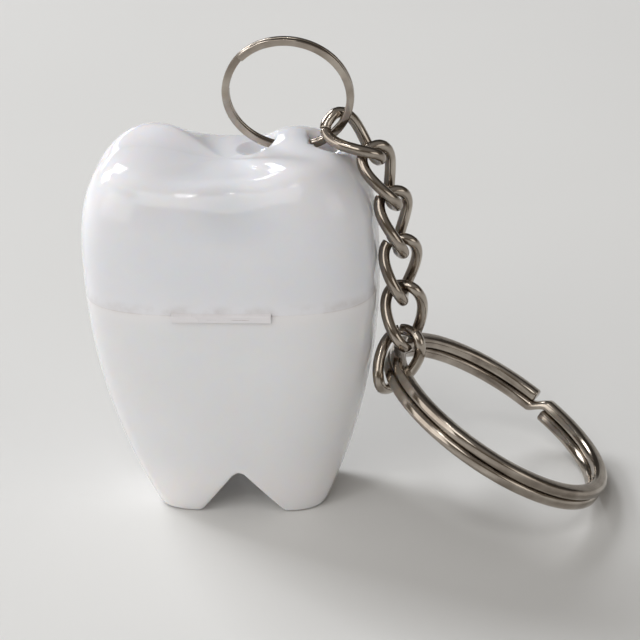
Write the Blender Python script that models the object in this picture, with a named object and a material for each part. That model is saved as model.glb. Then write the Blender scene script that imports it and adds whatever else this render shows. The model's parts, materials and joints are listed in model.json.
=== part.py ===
"""Tooth-shaped dental floss case on a keychain: the case, the floss inside it, its small split ring,
a chain of six curb links and a large split ring. Metres, +Z up; the thumb tab faces -Y."""
import math

import bmesh
import bpy
from mathutils import Matrix, Vector

MM = 0.001

# Fit between neighbours
TOUCH_GAP = 0.25 * MM            # between pieces that touch
RUNNING_GAP = 0.1 * MM           # radial, round a pin
OVERRUN = 1.0 * MM               # how far a cutter passes the face that it cuts

# Tooth case, outside
CASE_WIDTH = 34.0 * MM
CASE_DEPTH = 20.4 * MM
BELLY_HEIGHT = 31.0 * MM         # where the case is widest
CREST_RISE = 13.2 * MM           # from there up to the rim of the crown, on average
PARTING_DROP = 3.6 * MM          # from there down to where the lid meets the lower case
FOOT_SPREAD = 19.8 * MM          # width over both feet
FOOT_DEPTH = 12.5 * MM
FOOT_ROUND = 0.5 * MM            # rounding of the edge that the feet stand on
FLARE = 2.1                      # exponent of the curve from the feet to the belly
WALL = 1.2 * MM
SQUARENESS = 3.2                 # exponent of the plan outline, from the belly up; 2 is an ellipse
FOOT_SQUARENESS = 4.0            # the same at the feet
SHOULDER_SQUARENESS = 2.7        # exponent of the curve from belly to crest
CREST_SHARE = 0.55               # where the crest runs, as a share of the half width
CROWN_SHARES = (0.82, 0.64, 0.46, 0.25)   # rings inside the crest, as shares of the way out to it
# height of the crest over its average, as shares of its rise, going round from the right-hand side:
# right, back right, back, back left, left, front left, front, front right
CREST_SWELL_SHARES = (-0.06, -0.02, -0.107, 0.054, -0.013, 0.013, -0.094, -0.04)
FOSSA_DEPTH = 2.0 * MM           # middle of the crown below the crest
PLAN_STEPS = 56
HOLLOW_STEPS = 40

# Arch between the roots
ARCH_WIDTH = 10.3 * MM
ARCH_HEIGHT = 5.8 * MM
ARCH_TIP_RADIUS = 0.95 * MM
ARCH_OFFSET = 0.4 * MM           # its middle, to the right of the case's
ARCH_ROOF = 1.3 * MM             # floor of the hollow above the arch

# Lid
LID_ROOF = 3.2 * MM              # from the crest down to the ceiling
TAB_WIDTH = 11.5 * MM
TAB_HEIGHT = 1.1 * MM
TAB_REACH = 0.85 * MM            # how far the thumb tab stands out of the lid
TAB_DROP = 0.75 * MM             # how far it hangs below the parting line
TAB_ROUND = 0.3 * MM

# Hinge at the back, moulded on the lid and the lower case
KNUCKLE_RADIUS = 1.4 * MM
KNUCKLE_OFFSET = 1.1 * MM        # axis behind the case's back wall
LID_KNUCKLE_LENGTH = 9.0 * MM
EAR_LENGTH = 2.6 * MM
STUB_RADIUS = 0.7 * MM
STUB_REACH = 1.9 * MM

# Tunnel for the small ring, in the ridge at the right of the crown
TUNNEL_INSET = 9.6 * MM          # its middle, from the right-hand side of the case
TUNNEL_BACK = 2.4 * MM           # its axis, behind the middle of the case
TUNNEL_RADIUS = 0.95 * MM
TUNNEL_COVER = 1.55 * MM         # from its axis up to the top of the ridge
RIDGE_SWELL = 1.1 * MM           # height of the ridge over the plain crown
RIDGE_WIDTH = 3.8 * MM           # between the two scoops
RIDGE_LENGTH = 7.0 * MM          # front to back
SCOOP_LENGTH = 4.8 * MM          # each scoop, away from the ridge
SCOOP_WIDTH = 4.6 * MM           # front to back
SCOOP_DEPTH = 1.2 * MM           # below the tunnel's axis

# Small split ring
SMALL_RING_DIAMETER = 15.0 * MM
SMALL_WIRE_WIDTH = 0.86 * MM
SMALL_WIRE_THICKNESS = 0.42 * MM
SMALL_COIL_PITCH = 0.48 * MM
SMALL_RING_LEAN_DEG = 12.0       # towards the front
SMALL_RING_JOG_DEG = 40.0        # over which the wire steps from one turn to the next
SMALL_RING_START_DEG = 175.0
SMALL_RING_STEPS = 34            # in each turn of the wire
CHAIN_REACH = 5.56 * MM          # where the chain hangs on the ring, to the right of the tunnel
SMALL_RING_SEAT = 1.43 * MM      # middle of the ring's wire to the middle of the first link's bend

# Curb links
LINK_WIRE = 1.3 * MM
LINK_LENGTH = 8.65 * MM
LINK_WIDTH = 5.65 * MM
LINK_OVAL = 2.65                 # exponent of the link's outline
LINK_TWIST_DEG = 93.0
LINK_GAP = 0.41 * MM             # between neighbours
LINK_SEAM = 0.1 * MM             # where the ends of the wire butt
LINK_SEAM_DEG = -29.0            # round the link from the middle of its upper bend
LINK_STEPS = 36
# how each link hangs: its lean to the right from straight down, its lean to the front, and its turn
# about its own length
LINK_LEAN_DEG = (50.2, 20.3, 7.6, 1.7, 4.5, -24.8)
LINK_FRONT_DEG = (9.1, 4.8, 7.2, 6.0, 8.4, 20.2)
LINK_TURN_DEG = (25.6, 25.6, 22.0, 3.6, -16.8, -26.0)

# Large split ring
LARGE_RING_DIAMETER = 29.9 * MM
LARGE_WIRE_WIDTH = 1.8 * MM
LARGE_WIRE_THICKNESS = 1.36 * MM
LARGE_COIL_PITCH = 1.42 * MM
LARGE_RING_HEADING_DEG = 9.6     # from the last link to the ring's far side, from +X to the back
LARGE_RING_JOG_DEG = 9.0
LARGE_RING_START_DEG = 60.5
LARGE_RING_STEPS = 46
LARGE_RING_SEAT = 3.05 * MM      # middle of the ring's wire above the middle of the link's bend
FLOOR_GAP = 0.05 * MM
CHAMFER_SHARE = 0.3              # of the thickness of the wire, for both rings
JOG_STEPS = 6                    # in the jog of either ring

# Floss insert
COLLAR_GAP = 0.3 * MM            # to the lid and the lower case
COLLAR_RISE = 2.4 * MM           # above the parting line
COLLAR_DROP = 5.0 * MM           # below the parting line
COLLAR_WALL = 1.0 * MM
DECK_RISE = 1.6 * MM             # top of the deck above the parting line
DECK_THICKNESS = 1.2 * MM
CHEEK_WIDTH = 6.0 * MM
CHEEK_THICKNESS = 0.9 * MM
OUTLET_RADIUS = 1.7 * MM
OUTLET_BORE = 0.75 * MM
OUTLET_RISE = 0.9 * MM

# Spool and floss
AXLE_RADIUS = 1.2 * MM
AXLE_PROUD = 0.3 * MM            # out of each cheek
SPOOL_FLOOR_GAP = 0.6 * MM       # flanges above the floor of the hollow
SPOOL_DECK_GAP = 3.5 * MM        # flanges below the deck
SPOOL_FLANGE = 0.8 * MM
SPOOL_HUB_RADIUS = 2.8 * MM
SPOOL_LENGTH = 11.6 * MM
WINDING_DROP = 1.3 * MM          # outside of the winding below the rim of the flanges
FLOSS_RADIUS = 0.25 * MM
FLOSS_TAIL = 1.6 * MM            # past the cutter's blade
SPOOL_STEPS = 32

# Cutter on the deck
CUTTER_SHEET = 0.4 * MM
CUTTER_LENGTH = 7.0 * MM
CUTTER_WIDTH = 5.0 * MM
CUTTER_RISE = 2.2 * MM
CUTTER_PLACE = 4.0 * MM          # its middle, left of the middle of the case
NOTCH_WIDTH = 1.8 * MM
NOTCH_DEPTH = 1.2 * MM
NOTCH_CLEAR = 0.7 * MM           # middle of the floss above the foot of the notch

ROUND_STEPS = 20                 # sides of small round pieces

CREST_HEIGHT = BELLY_HEIGHT + CREST_RISE
PARTING_HEIGHT = BELLY_HEIGHT - PARTING_DROP
FLOOR_HEIGHT = ARCH_HEIGHT + ARCH_ROOF
SPOOL_ROOM = PARTING_HEIGHT + DECK_RISE - DECK_THICKNESS - FLOOR_HEIGHT
SPOOL_FLANGE_RADIUS = (SPOOL_ROOM - SPOOL_FLOOR_GAP - SPOOL_DECK_GAP) / 2
SPOOL_HEIGHT = FLOOR_HEIGHT + SPOOL_FLOOR_GAP + SPOOL_FLANGE_RADIUS
WINDING_RADIUS = SPOOL_FLANGE_RADIUS - WINDING_DROP
WORLD = {}                       # where each thing stands, for the things that hang from it


def clear_scene():
    for thing in list(bpy.data.objects):
        bpy.data.objects.remove(thing, do_unlink=True)


def finish(name, colour, roughness, metallic=0.0):
    material = bpy.data.materials.new(name)
    material.use_nodes = True
    shader = material.node_tree.nodes["Principled BSDF"]
    shader.inputs["Base Color"].default_value = (*colour, 1.0)
    shader.inputs["Roughness"].default_value = roughness
    shader.inputs["Metallic"].default_value = metallic
    material.diffuse_color = (*colour, 1.0)
    return material


def place(thing, world, parent=None):
    """Put a thing at its place in the world, under its parent."""
    bpy.context.collection.objects.link(thing)
    if parent is None:
        thing.matrix_basis = world
    else:
        thing.parent = parent
        thing.matrix_basis = WORLD[parent.name].inverted() @ world
    WORLD[thing.name] = world.copy()
    return thing


def pivot(name, point, parent):
    """An empty at a point given in the axes of its parent."""
    return place(bpy.data.objects.new(name, None), WORLD[parent.name] @ Matrix.Translation(point), parent)


def solid(name, bm, material, world, parent, smooth_deg=40.0):
    """Turn a bmesh, drawn in the piece's own axes, into a named object."""
    bmesh.ops.recalc_face_normals(bm, faces=bm.faces)
    mesh = bpy.data.meshes.new(name)
    bm.to_mesh(mesh)
    bm.free()
    mesh.shade_smooth()
    mesh.set_sharp_from_angle(angle=math.radians(smooth_deg))
    if material is not None:
        mesh.materials.append(material)
    return place(bpy.data.objects.new(name, mesh), world, parent)


def combine(target, operation, name, bm, parent):
    """Boolean a target with a hidden helper, drawn in the axes of the helper's parent."""
    helper = solid(name, bm, None, WORLD[parent.name], parent)
    helper.hide_render = True
    helper.display_type = "WIRE"
    cut = target.modifiers.new(name, "BOOLEAN")
    cut.operation = operation
    cut.object = helper
    cut.solver = "EXACT"


def skin(bm, loops):
    """Join loops of vertices, each to the next."""
    for low, high in zip(loops, loops[1:]):
        for i in range(len(low)):
            j = (i + 1) % len(low)
            bm.faces.new((low[i], low[j], high[j], high[i]))


def loft(rings, tip=None):
    """Skin rings of points; the first end is flat, and so is the last, or it closes on a tip."""
    bm = bmesh.new()
    loops = [[bm.verts.new(point) for point in ring] for ring in rings]
    skin(bm, loops)
    bm.faces.new(loops[0])
    if tip is None:
        bm.faces.new(loops[-1])
    else:
        peak = bm.verts.new(tip)
        last = loops[-1]
        for i in range(len(last)):
            bm.faces.new((last[i], last[(i + 1) % len(last)], peak))
    return bm


def box(low, high):
    bm = bmesh.new()
    bmesh.ops.create_cube(bm, size=1.0)
    bmesh.ops.scale(bm, vec=[b - a for a, b in zip(low, high)], verts=bm.verts)
    bmesh.ops.translate(bm, vec=[(a + b) / 2 for a, b in zip(low, high)], verts=bm.verts)
    return bm


def rod(radius, length, axis, centre):
    """A round bar about its centre, along X, Y or Z."""
    bm = bmesh.new()
    bmesh.ops.create_cone(bm, cap_ends=True, segments=ROUND_STEPS,
                          radius1=radius, radius2=radius, depth=length)
    if axis != "Z":
        turn = Matrix.Rotation(math.pi / 2, 3, {"X": "Y", "Y": "X"}[axis])
        bmesh.ops.rotate(bm, matrix=turn, verts=bm.verts)
    bmesh.ops.translate(bm, vec=centre, verts=bm.verts)
    return bm


def ellipsoid(centre, radii):
    bm = bmesh.new()
    bmesh.ops.create_uvsphere(bm, u_segments=20, v_segments=12, radius=1.0)
    bmesh.ops.scale(bm, vec=radii, verts=bm.verts)
    bmesh.ops.translate(bm, vec=centre, verts=bm.verts)
    return bm


def turned(profile):
    """Revolve a closed profile of (radius, y) about the Y axis."""
    bm = bmesh.new()
    loops = []
    for i in range(SPOOL_STEPS):
        a = 2 * math.pi * i / SPOOL_STEPS
        loops.append([bm.verts.new((r * math.cos(a), y, r * math.sin(a))) for r, y in profile])
    skin(bm, loops + loops[:1])
    return bm


def extruded(outline, axis, start, end):
    """Extrude an outline of (y, z) points along X, or of (x, z) points along Y."""
    bm = bmesh.new()
    loops = []
    for reach in (start, end):
        spots = [(reach, a, b) if axis == "X" else (a, reach, b) for a, b in outline]
        loops.append([bm.verts.new(spot) for spot in spots])
    skin(bm, loops)
    bm.faces.new(loops[0])
    bm.faces.new(loops[1])
    return bm


def wire(name, points, radius, material, world, parent):
    """A round wire along points in the piece's own axes, with flat ends."""
    curve = bpy.data.curves.new(name, "CURVE")
    curve.dimensions = "3D"
    curve.bevel_depth = radius
    curve.bevel_resolution = 2
    curve.use_fill_caps = True
    spline = curve.splines.new("POLY")
    spline.points.add(len(points) - 1)
    for spot, point in zip(spline.points, points):
        spot.co = (*point, 1.0)
    curve.materials.append(material)
    return place(bpy.data.objects.new(name, curve), world, parent)


def plan(half_width, half_depth, height, steps, squareness=SQUARENESS):
    """One ring of the case's plan outline, a rounded rectangle."""
    ring = []
    for i in range(steps):
        angle = 2 * math.pi * i / steps
        c, s = math.cos(angle), math.sin(angle)
        x = math.copysign(abs(c) ** (2 / squareness), c)
        y = math.copysign(abs(s) ** (2 / squareness), s)
        ring.append(Vector((half_width * x, half_depth * y, height)))
    return ring


def flare(height):
    """How far the case has grown from the feet, 0, to the belly, 1."""
    return 1 - (1 - height / BELLY_HEIGHT) ** FLARE


def half_sizes(height):
    """Half width and half depth of the case from the feet to the belly."""
    width = FOOT_SPREAD + (CASE_WIDTH - FOOT_SPREAD) * flare(height)
    depth = FOOT_DEPTH + (CASE_DEPTH - FOOT_DEPTH) * flare(height)
    return width / 2, depth / 2


def case_ring(height, inset=0.0, level=None, steps=HOLLOW_STEPS):
    """The case's outline at a height, drawn in by an inset and set at that height or another level."""
    width, depth = half_sizes(height)
    squareness = FOOT_SQUARENESS + (SQUARENESS - FOOT_SQUARENESS) * flare(height)
    return plan(width - inset, depth - inset, height if level is None else level, steps, squareness)


def crest_height(angle):
    """Height of the crest in a direction of the plan, eased from each named place to the next."""
    places = len(CREST_SWELL_SHARES)
    spot = angle / (2 * math.pi) * places
    first = int(spot) % places
    ease = (1 - math.cos(math.pi * (spot % 1.0))) / 2
    swell = CREST_SWELL_SHARES[first] * (1 - ease) + CREST_SWELL_SHARES[(first + 1) % places] * ease
    return CREST_HEIGHT + CREST_RISE * swell


def crown_height(share, top, floor):
    """Height of the crown at a share of its half width, where the crest is at top, the middle at floor."""
    if share >= CREST_SHARE:
        out = (share - CREST_SHARE) / (1 - CREST_SHARE)
        curve = max(1 - out ** SHOULDER_SQUARENESS, 0.0) ** (1 / SHOULDER_SQUARENESS)
        return BELLY_HEIGHT + (top - BELLY_HEIGHT) * curve
    into = share / CREST_SHARE
    return floor + (top - floor) * into * into * (3 - 2 * into)


def ridge_swell(x, y):
    """How much the ridge over the tunnel stands above the plain crown."""
    across = (x - (CASE_WIDTH / 2 - TUNNEL_INSET)) / RIDGE_WIDTH
    along = (y - TUNNEL_BACK) / (RIDGE_LENGTH / 2)
    return RIDGE_SWELL * math.exp(-across * across - along * along)


def tunnel_centre():
    crest = CREST_HEIGHT + CREST_RISE * CREST_SWELL_SHARES[0]
    return Vector((CASE_WIDTH / 2 - TUNNEL_INSET, TUNNEL_BACK, crest + RIDGE_SWELL - TUNNEL_COVER))


def hinge_axis():
    return Vector((0.0, half_sizes(PARTING_HEIGHT)[1] + KNUCKLE_OFFSET, PARTING_HEIGHT))


def shoulder_shares(count):
    """Shares of the half width from just inside the belly to the crest, closer where the curve is tight."""
    shares = []
    for i in range(1, count + 1):
        turn = math.pi / 2 * i / count
        shares.append(CREST_SHARE + (1 - CREST_SHARE) * max(math.cos(turn), 0.0) ** (2 / SHOULDER_SQUARENESS))
    return shares


def crown_outside():
    """The lid's outer form, from the parting line over the cusps to the middle of the crown."""
    bottom = PARTING_HEIGHT + TOUCH_GAP / 2
    rings = []
    for i in range(3):
        rings.append(case_ring(bottom + (BELLY_HEIGHT - bottom) * i / 2, steps=PLAN_STEPS))
    floor = CREST_HEIGHT - FOSSA_DEPTH
    for share in shoulder_shares(9) + [CREST_SHARE * part for part in CROWN_SHARES]:
        ring = plan(CASE_WIDTH / 2 * share, CASE_DEPTH / 2 * share, 0.0, PLAN_STEPS)
        for i, point in enumerate(ring):
            top = crest_height(2 * math.pi * i / PLAN_STEPS)
            point.z = crown_height(share, top, floor) + ridge_swell(point.x, point.y)
        rings.append(ring)
    return loft(rings, tip=Vector((0.0, 0.0, floor)))


def crown_inside():
    """The lid's hollow, with a flat ceiling under the cusps."""
    ceiling = CREST_HEIGHT - LID_ROOF
    rings = [case_ring(height, WALL) for height in (PARTING_HEIGHT - OVERRUN, PARTING_HEIGHT, BELLY_HEIGHT)]
    for share in shoulder_shares(5):
        height = crown_height(share, ceiling, ceiling)
        width, depth = (CASE_WIDTH / 2 - WALL) * share, (CASE_DEPTH / 2 - WALL) * share
        rings.append(plan(width, depth, height, HOLLOW_STEPS))
    return loft(rings)


def knuckle(length, middle, side):
    """A hinge knuckle and its web to the back wall, above the parting line (side 1) or below it (-1)."""
    axis = hinge_axis()
    root = axis.y - KNUCKLE_OFFSET - WALL / 2
    edge = TOUCH_GAP / 2 * side
    outline = [(root, edge), (root, KNUCKLE_RADIUS * side)]
    for i in range(13):
        turn = math.radians(90 - 22.5 * i) * side
        outline.append((axis.y + KNUCKLE_RADIUS * math.cos(turn), KNUCKLE_RADIUS * math.sin(turn)))
    outline.append((axis.y - KNUCKLE_RADIUS, edge))
    lifted = [(y, axis.z + z) for y, z in outline]
    return extruded(lifted, "X", middle - length / 2, middle + length / 2)


def ear_place():
    """Middle of the right-hand ear, along X."""
    return LID_KNUCKLE_LENGTH / 2 + TOUCH_GAP + EAR_LENGTH / 2


def arch_outline():
    """The gap between the roots: two slanting flanks and a round tip."""
    half, tip = ARCH_WIDTH / 2, ARCH_HEIGHT - ARCH_TIP_RADIUS
    slope = math.atan2(tip, half) + math.asin(ARCH_TIP_RADIUS / math.hypot(half, tip))
    foot, below = half + OVERRUN * math.cos(slope), -OVERRUN * math.sin(slope)
    outline = [(ARCH_OFFSET - foot, below)]
    for i in range(9):
        turn = math.pi / 2 + slope * (1 - i / 4)
        x = ARCH_TIP_RADIUS * math.cos(turn)
        outline.append((ARCH_OFFSET + x, tip + ARCH_TIP_RADIUS * math.sin(turn)))
    outline.append((ARCH_OFFSET + foot, below))
    return outline


def make_lower_case(case, material):
    top = PARTING_HEIGHT - TOUCH_GAP / 2
    rings = []
    for i in range(4):
        turn = math.pi / 2 * i / 3
        height, inset = FOOT_ROUND * (1 - math.cos(turn)), FOOT_ROUND * (1 - math.sin(turn))
        rings.append(case_ring(height, inset, steps=PLAN_STEPS))
    for i in range(1, 9):
        rings.append(case_ring(FOOT_ROUND + (top - FOOT_ROUND) * i / 8, steps=PLAN_STEPS))
    piece = solid("lower_case", loft(rings), material, WORLD[case.name], case)

    rise = top + OVERRUN - FLOOR_HEIGHT
    hollow = loft([case_ring(FLOOR_HEIGHT + rise * i / 6, WALL) for i in range(7)])
    combine(piece, "DIFFERENCE", "case_hollow", hollow, case)
    arch = extruded(arch_outline(), "Y", -CASE_DEPTH, CASE_DEPTH)
    combine(piece, "DIFFERENCE", "root_arch", arch, case)

    axis = hinge_axis()
    room = rod(KNUCKLE_RADIUS + TOUCH_GAP, LID_KNUCKLE_LENGTH + 2 * TOUCH_GAP, "X", axis)
    combine(piece, "DIFFERENCE", "lid_knuckle_room", room, case)
    for side, name in ((-1, "left_ear"), (1, "right_ear")):
        combine(piece, "UNION", name, knuckle(EAR_LENGTH, side * ear_place(), -1), case)
    span = 2 * (ear_place() + EAR_LENGTH / 2 + OVERRUN)
    combine(piece, "DIFFERENCE", "ear_bore", rod(STUB_RADIUS + RUNNING_GAP, span, "X", axis), case)
    return piece


def tab_outline():
    """The thumb tab in side view: it grows out of the lid's wall and hangs in front of the lower case."""
    wall = -half_sizes(PARTING_HEIGHT)[1]
    face = wall - TAB_REACH
    low = PARTING_HEIGHT - TAB_DROP
    high = low + TAB_HEIGHT
    edge = PARTING_HEIGHT + TOUCH_GAP / 2
    root, front = wall + WALL / 2, wall - TOUCH_GAP
    outline = [(root, high), (root, edge), (front, edge), (front, low)]
    for corner_z, start in ((low + TAB_ROUND, 270), (high - TAB_ROUND, 180)):
        for i in range(4):
            turn = math.radians(start - 30 * i)
            y = face + TAB_ROUND + TAB_ROUND * math.cos(turn)
            outline.append((y, corner_z + TAB_ROUND * math.sin(turn)))
    return outline


def make_lid(case, hinge, material):
    outside = crown_outside()
    axis = hinge_axis()
    bmesh.ops.translate(outside, vec=-axis, verts=outside.verts)
    piece = solid("lid", outside, material, WORLD[hinge.name], hinge)
    combine(piece, "DIFFERENCE", "lid_hollow", crown_inside(), case)

    tab = extruded(tab_outline(), "X", -TAB_WIDTH / 2, TAB_WIDTH / 2)
    combine(piece, "UNION", "thumb_tab", tab, case)
    for side, name in ((-1, "left_ear_room"), (1, "right_ear_room")):
        middle = Vector((side * ear_place(), axis.y, axis.z))
        room = rod(KNUCKLE_RADIUS + TOUCH_GAP, EAR_LENGTH + 2 * TOUCH_GAP, "X", middle)
        combine(piece, "DIFFERENCE", name, room, case)
    combine(piece, "UNION", "lid_knuckle", knuckle(LID_KNUCKLE_LENGTH, 0.0, 1), case)
    stubs = rod(STUB_RADIUS, LID_KNUCKLE_LENGTH + 2 * STUB_REACH, "X", axis)
    combine(piece, "UNION", "hinge_stubs", stubs, case)

    tunnel = tunnel_centre()
    depth = tunnel.z - SCOOP_DEPTH
    for side, name in ((-1, "left_scoop"), (1, "right_scoop")):
        middle = Vector((tunnel.x + side * (RIDGE_WIDTH + SCOOP_LENGTH) / 2, tunnel.y, CREST_HEIGHT))
        radii = (SCOOP_LENGTH / 2, SCOOP_WIDTH / 2, CREST_HEIGHT - depth)
        combine(piece, "DIFFERENCE", name, ellipsoid(middle, radii), case)
    bore = rod(TUNNEL_RADIUS, RIDGE_WIDTH + SCOOP_LENGTH, "X", tunnel)
    combine(piece, "DIFFERENCE", "ring_tunnel", bore, case)
    return piece


def deck_height():
    return PARTING_HEIGHT + DECK_RISE


def outlet_place():
    """The outlet stands over the side of the winding, where the floss leaves it."""
    return WINDING_RADIUS + TOUCH_GAP + FLOSS_RADIUS


def make_insert(case, material):
    """The collar and deck that plug the lower case, with two cheeks that carry the spool."""
    inset = WALL + COLLAR_GAP
    low, high = PARTING_HEIGHT - COLLAR_DROP, PARTING_HEIGHT + COLLAR_RISE
    outside = [case_ring(low, inset)]
    outside += [case_ring(PARTING_HEIGHT, inset, level) for level in (PARTING_HEIGHT, high)]
    piece = solid("floss_insert", loft(outside), material, WORLD[case.name], case)

    inset += COLLAR_WALL
    under = deck_height() - DECK_THICKNESS
    below = [case_ring(low, inset, level) for level in (low - OVERRUN, under)]
    combine(piece, "DIFFERENCE", "under_deck", loft(below), case)
    above = [case_ring(low, inset, level) for level in (deck_height(), high + OVERRUN)]
    combine(piece, "DIFFERENCE", "over_deck", loft(above), case)

    inner = SPOOL_LENGTH / 2 + TOUCH_GAP
    for side, name in ((-1, "front_cheek"), (1, "back_cheek")):
        near, far = side * inner, side * (inner + CHEEK_THICKNESS)
        combine(piece, "UNION", name, extruded(cheek_outline(under), "Y", near, far), case)
    reach = inner + CHEEK_THICKNESS + OVERRUN
    eyes = rod(AXLE_RADIUS + RUNNING_GAP, 2 * reach, "Y", (0.0, 0.0, SPOOL_HEIGHT))
    combine(piece, "DIFFERENCE", "axle_eyes", eyes, case)

    x = outlet_place()
    foot = deck_height() - DECK_THICKNESS / 2
    top = deck_height() + OUTLET_RISE
    nozzle = rod(OUTLET_RADIUS, top - foot, "Z", (x, 0.0, (top + foot) / 2))
    combine(piece, "UNION", "outlet", nozzle, case)
    bore = rod(OUTLET_BORE, top - under + 2 * OVERRUN, "Z", (x, 0.0, (top + under) / 2))
    combine(piece, "DIFFERENCE", "outlet_bore", bore, case)
    return piece


def cheek_outline(under):
    """A cheek seen from the front: straight sides down to a round end about the axle."""
    half = CHEEK_WIDTH / 2
    top = under + DECK_THICKNESS / 2
    outline = [(half, top), (-half, top)]
    for i in range(9):
        turn = math.pi + math.pi * i / 8
        outline.append((half * math.cos(turn), SPOOL_HEIGHT + half * math.sin(turn)))
    return outline


def make_spool(case, plastic, floss):
    """The bobbin on its axle, and the floss wound on it."""
    spindle = pivot("spool_pivot", (0.0, 0.0, SPOOL_HEIGHT), case)
    world = WORLD[spindle.name]
    end = SPOOL_LENGTH / 2
    bore = AXLE_RADIUS + RUNNING_GAP
    waist = end - SPOOL_FLANGE
    rim = SPOOL_FLANGE_RADIUS
    profile = [(bore, -end), (rim, -end), (rim, -waist), (SPOOL_HUB_RADIUS, -waist)]
    profile += [(SPOOL_HUB_RADIUS, waist), (rim, waist), (rim, end), (bore, end)]
    solid("floss_spool", turned(profile), plastic, world, spindle)

    inner, side = SPOOL_HUB_RADIUS + TOUCH_GAP, waist - TOUCH_GAP
    wound = [(inner, -side), (WINDING_RADIUS, -side), (WINDING_RADIUS, side), (inner, side)]
    solid("floss_winding", turned(wound), floss, world, spindle)


def make_axle(case, metal):
    reach = SPOOL_LENGTH / 2 + TOUCH_GAP + CHEEK_THICKNESS + AXLE_PROUD
    middle = WORLD[case.name] @ Matrix.Translation((0.0, 0.0, SPOOL_HEIGHT))
    solid("spool_axle", rod(AXLE_RADIUS, 2 * reach, "Y", (0.0, 0.0, 0.0)), metal, middle, case)


def make_cutter(case, metal):
    """A steel sheet bent up at its right-hand end, with a notch that grips and cuts the floss."""
    low = deck_height() + TOUCH_GAP
    right = -CUTTER_PLACE + CUTTER_LENGTH / 2
    left = right - CUTTER_LENGTH
    side = CUTTER_WIDTH / 2
    base = box((left, -side, low), (right, side, low + CUTTER_SHEET))
    piece = solid("floss_cutter", base, metal, WORLD[case.name], case)
    top = low + CUTTER_RISE
    foot = top - NOTCH_DEPTH
    blade = [(-side, low), (side, low), (side, top), (NOTCH_WIDTH / 2, top), (0.0, foot)]
    blade += [(-NOTCH_WIDTH / 2, top), (-side, top)]
    combine(piece, "UNION", "blade", extruded(blade, "X", right - CUTTER_SHEET, right), case)
    return piece


def make_floss_lead(case, floss):
    """The end of the floss: up from the winding, through the outlet and over to the cutter's notch."""
    x = outlet_place()
    level = deck_height() + TOUCH_GAP + CUTTER_RISE - NOTCH_DEPTH + NOTCH_CLEAR
    bend = level - deck_height() - OUTLET_RISE
    end = -CUTTER_PLACE + CUTTER_LENGTH / 2 - CUTTER_SHEET - FLOSS_TAIL
    points = [Vector((x, 0.0, SPOOL_HEIGHT + (level - bend - SPOOL_HEIGHT) * i / 10)) for i in range(10)]
    for i in range(6):
        turn = math.pi / 2 * i / 5
        points.append(Vector((x - bend + bend * math.cos(turn), 0.0, level - bend + bend * math.sin(turn))))
    points += [Vector((x - bend + (end - x + bend) * i / 8, 0.0, level)) for i in range(1, 9)]
    wire("floss_lead", points, FLOSS_RADIUS, floss, WORLD[case.name], case)


def split_ring(radius, width, thickness, pitch, start_deg, jog_deg, steps, centre):
    """Two turns of wire, side by side, that step from one to the other over the jog, about an axis Z."""
    chamfer = thickness * CHAMFER_SHARE
    w, h = width / 2, thickness / 2
    section = [(w, -h + chamfer), (w, h - chamfer), (w - chamfer, h), (chamfer - w, h)]
    section += [(-w, h - chamfer), (-w, chamfer - h), (chamfer - w, -h), (w - chamfer, -h)]
    one_turn = 360.0 - jog_deg
    runs = [one_turn * i / steps for i in range(steps)]
    runs += [one_turn + jog_deg * i / JOG_STEPS for i in range(JOG_STEPS)]
    runs += [360.0 + one_turn * i / steps for i in range(steps + 1)]
    rings = []
    for run in runs:
        climb = min(max((run - one_turn) / jog_deg, 0.0), 1.0)
        level = pitch * (climb * climb * (3 - 2 * climb) - 0.5)
        turn = math.radians(start_deg + run)
        away = Vector((math.cos(turn), math.sin(turn), 0.0))
        middle = centre + away * radius + Vector((0.0, 0.0, level))
        rings.append([middle + away * out + Vector((0.0, 0.0, up)) for out, up in section])
    return loft(rings)


def small_ring_radius():
    return (SMALL_RING_DIAMETER - SMALL_WIRE_WIDTH) / 2


def small_ring_axes():
    """The small ring's place in the case's own axes: X along the tunnel, Y from the tunnel to its middle."""
    turn = Matrix.Rotation(math.radians(90.0 + SMALL_RING_LEAN_DEG), 4, "X")
    return Matrix.Translation(tunnel_centre()) @ turn


def make_small_ring(lid, metal):
    """The thin ring stands in the tunnel, which its origin marks, and leans to the front."""
    world = WORLD[lid.name] @ Matrix.Translation(-hinge_axis()) @ small_ring_axes()
    radius = small_ring_radius()
    ring = split_ring(radius, SMALL_WIRE_WIDTH, SMALL_WIRE_THICKNESS, SMALL_COIL_PITCH,
                      SMALL_RING_START_DEG, SMALL_RING_JOG_DEG, SMALL_RING_STEPS, Vector((0.0, radius, 0.0)))
    return solid("small_ring", ring, metal, world, lid)


def link_direction(number):
    lean, front = math.radians(LINK_LEAN_DEG[number]), math.radians(LINK_FRONT_DEG[number])
    return Vector((math.sin(lean), -math.cos(lean) * math.sin(front), -math.cos(lean) * math.cos(front)))


def link_points():
    """The wire of one link, from seam to seam: an oval, twisted about its length. Its upper bend is at 0."""
    half_long, half_wide = (LINK_LENGTH - LINK_WIRE) / 2, (LINK_WIDTH - LINK_WIRE) / 2
    gap = LINK_SEAM / (2 * half_wide)
    first = math.radians(LINK_SEAM_DEG) + gap
    sweep = 2 * math.pi - 2 * gap
    points = []
    for i in range(LINK_STEPS + 1):
        turn = first + sweep * i / LINK_STEPS
        c, s = math.cos(turn), math.sin(turn)
        up = half_long * math.copysign(abs(c) ** (2 / LINK_OVAL), c)
        out = half_wide * math.copysign(abs(s) ** (2 / LINK_OVAL), s)
        twist = math.radians(LINK_TWIST_DEG) * (1 - up / half_long) / 2
        points.append(Vector((out * math.cos(twist), out * math.sin(twist), up - half_long)))
    return points


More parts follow.
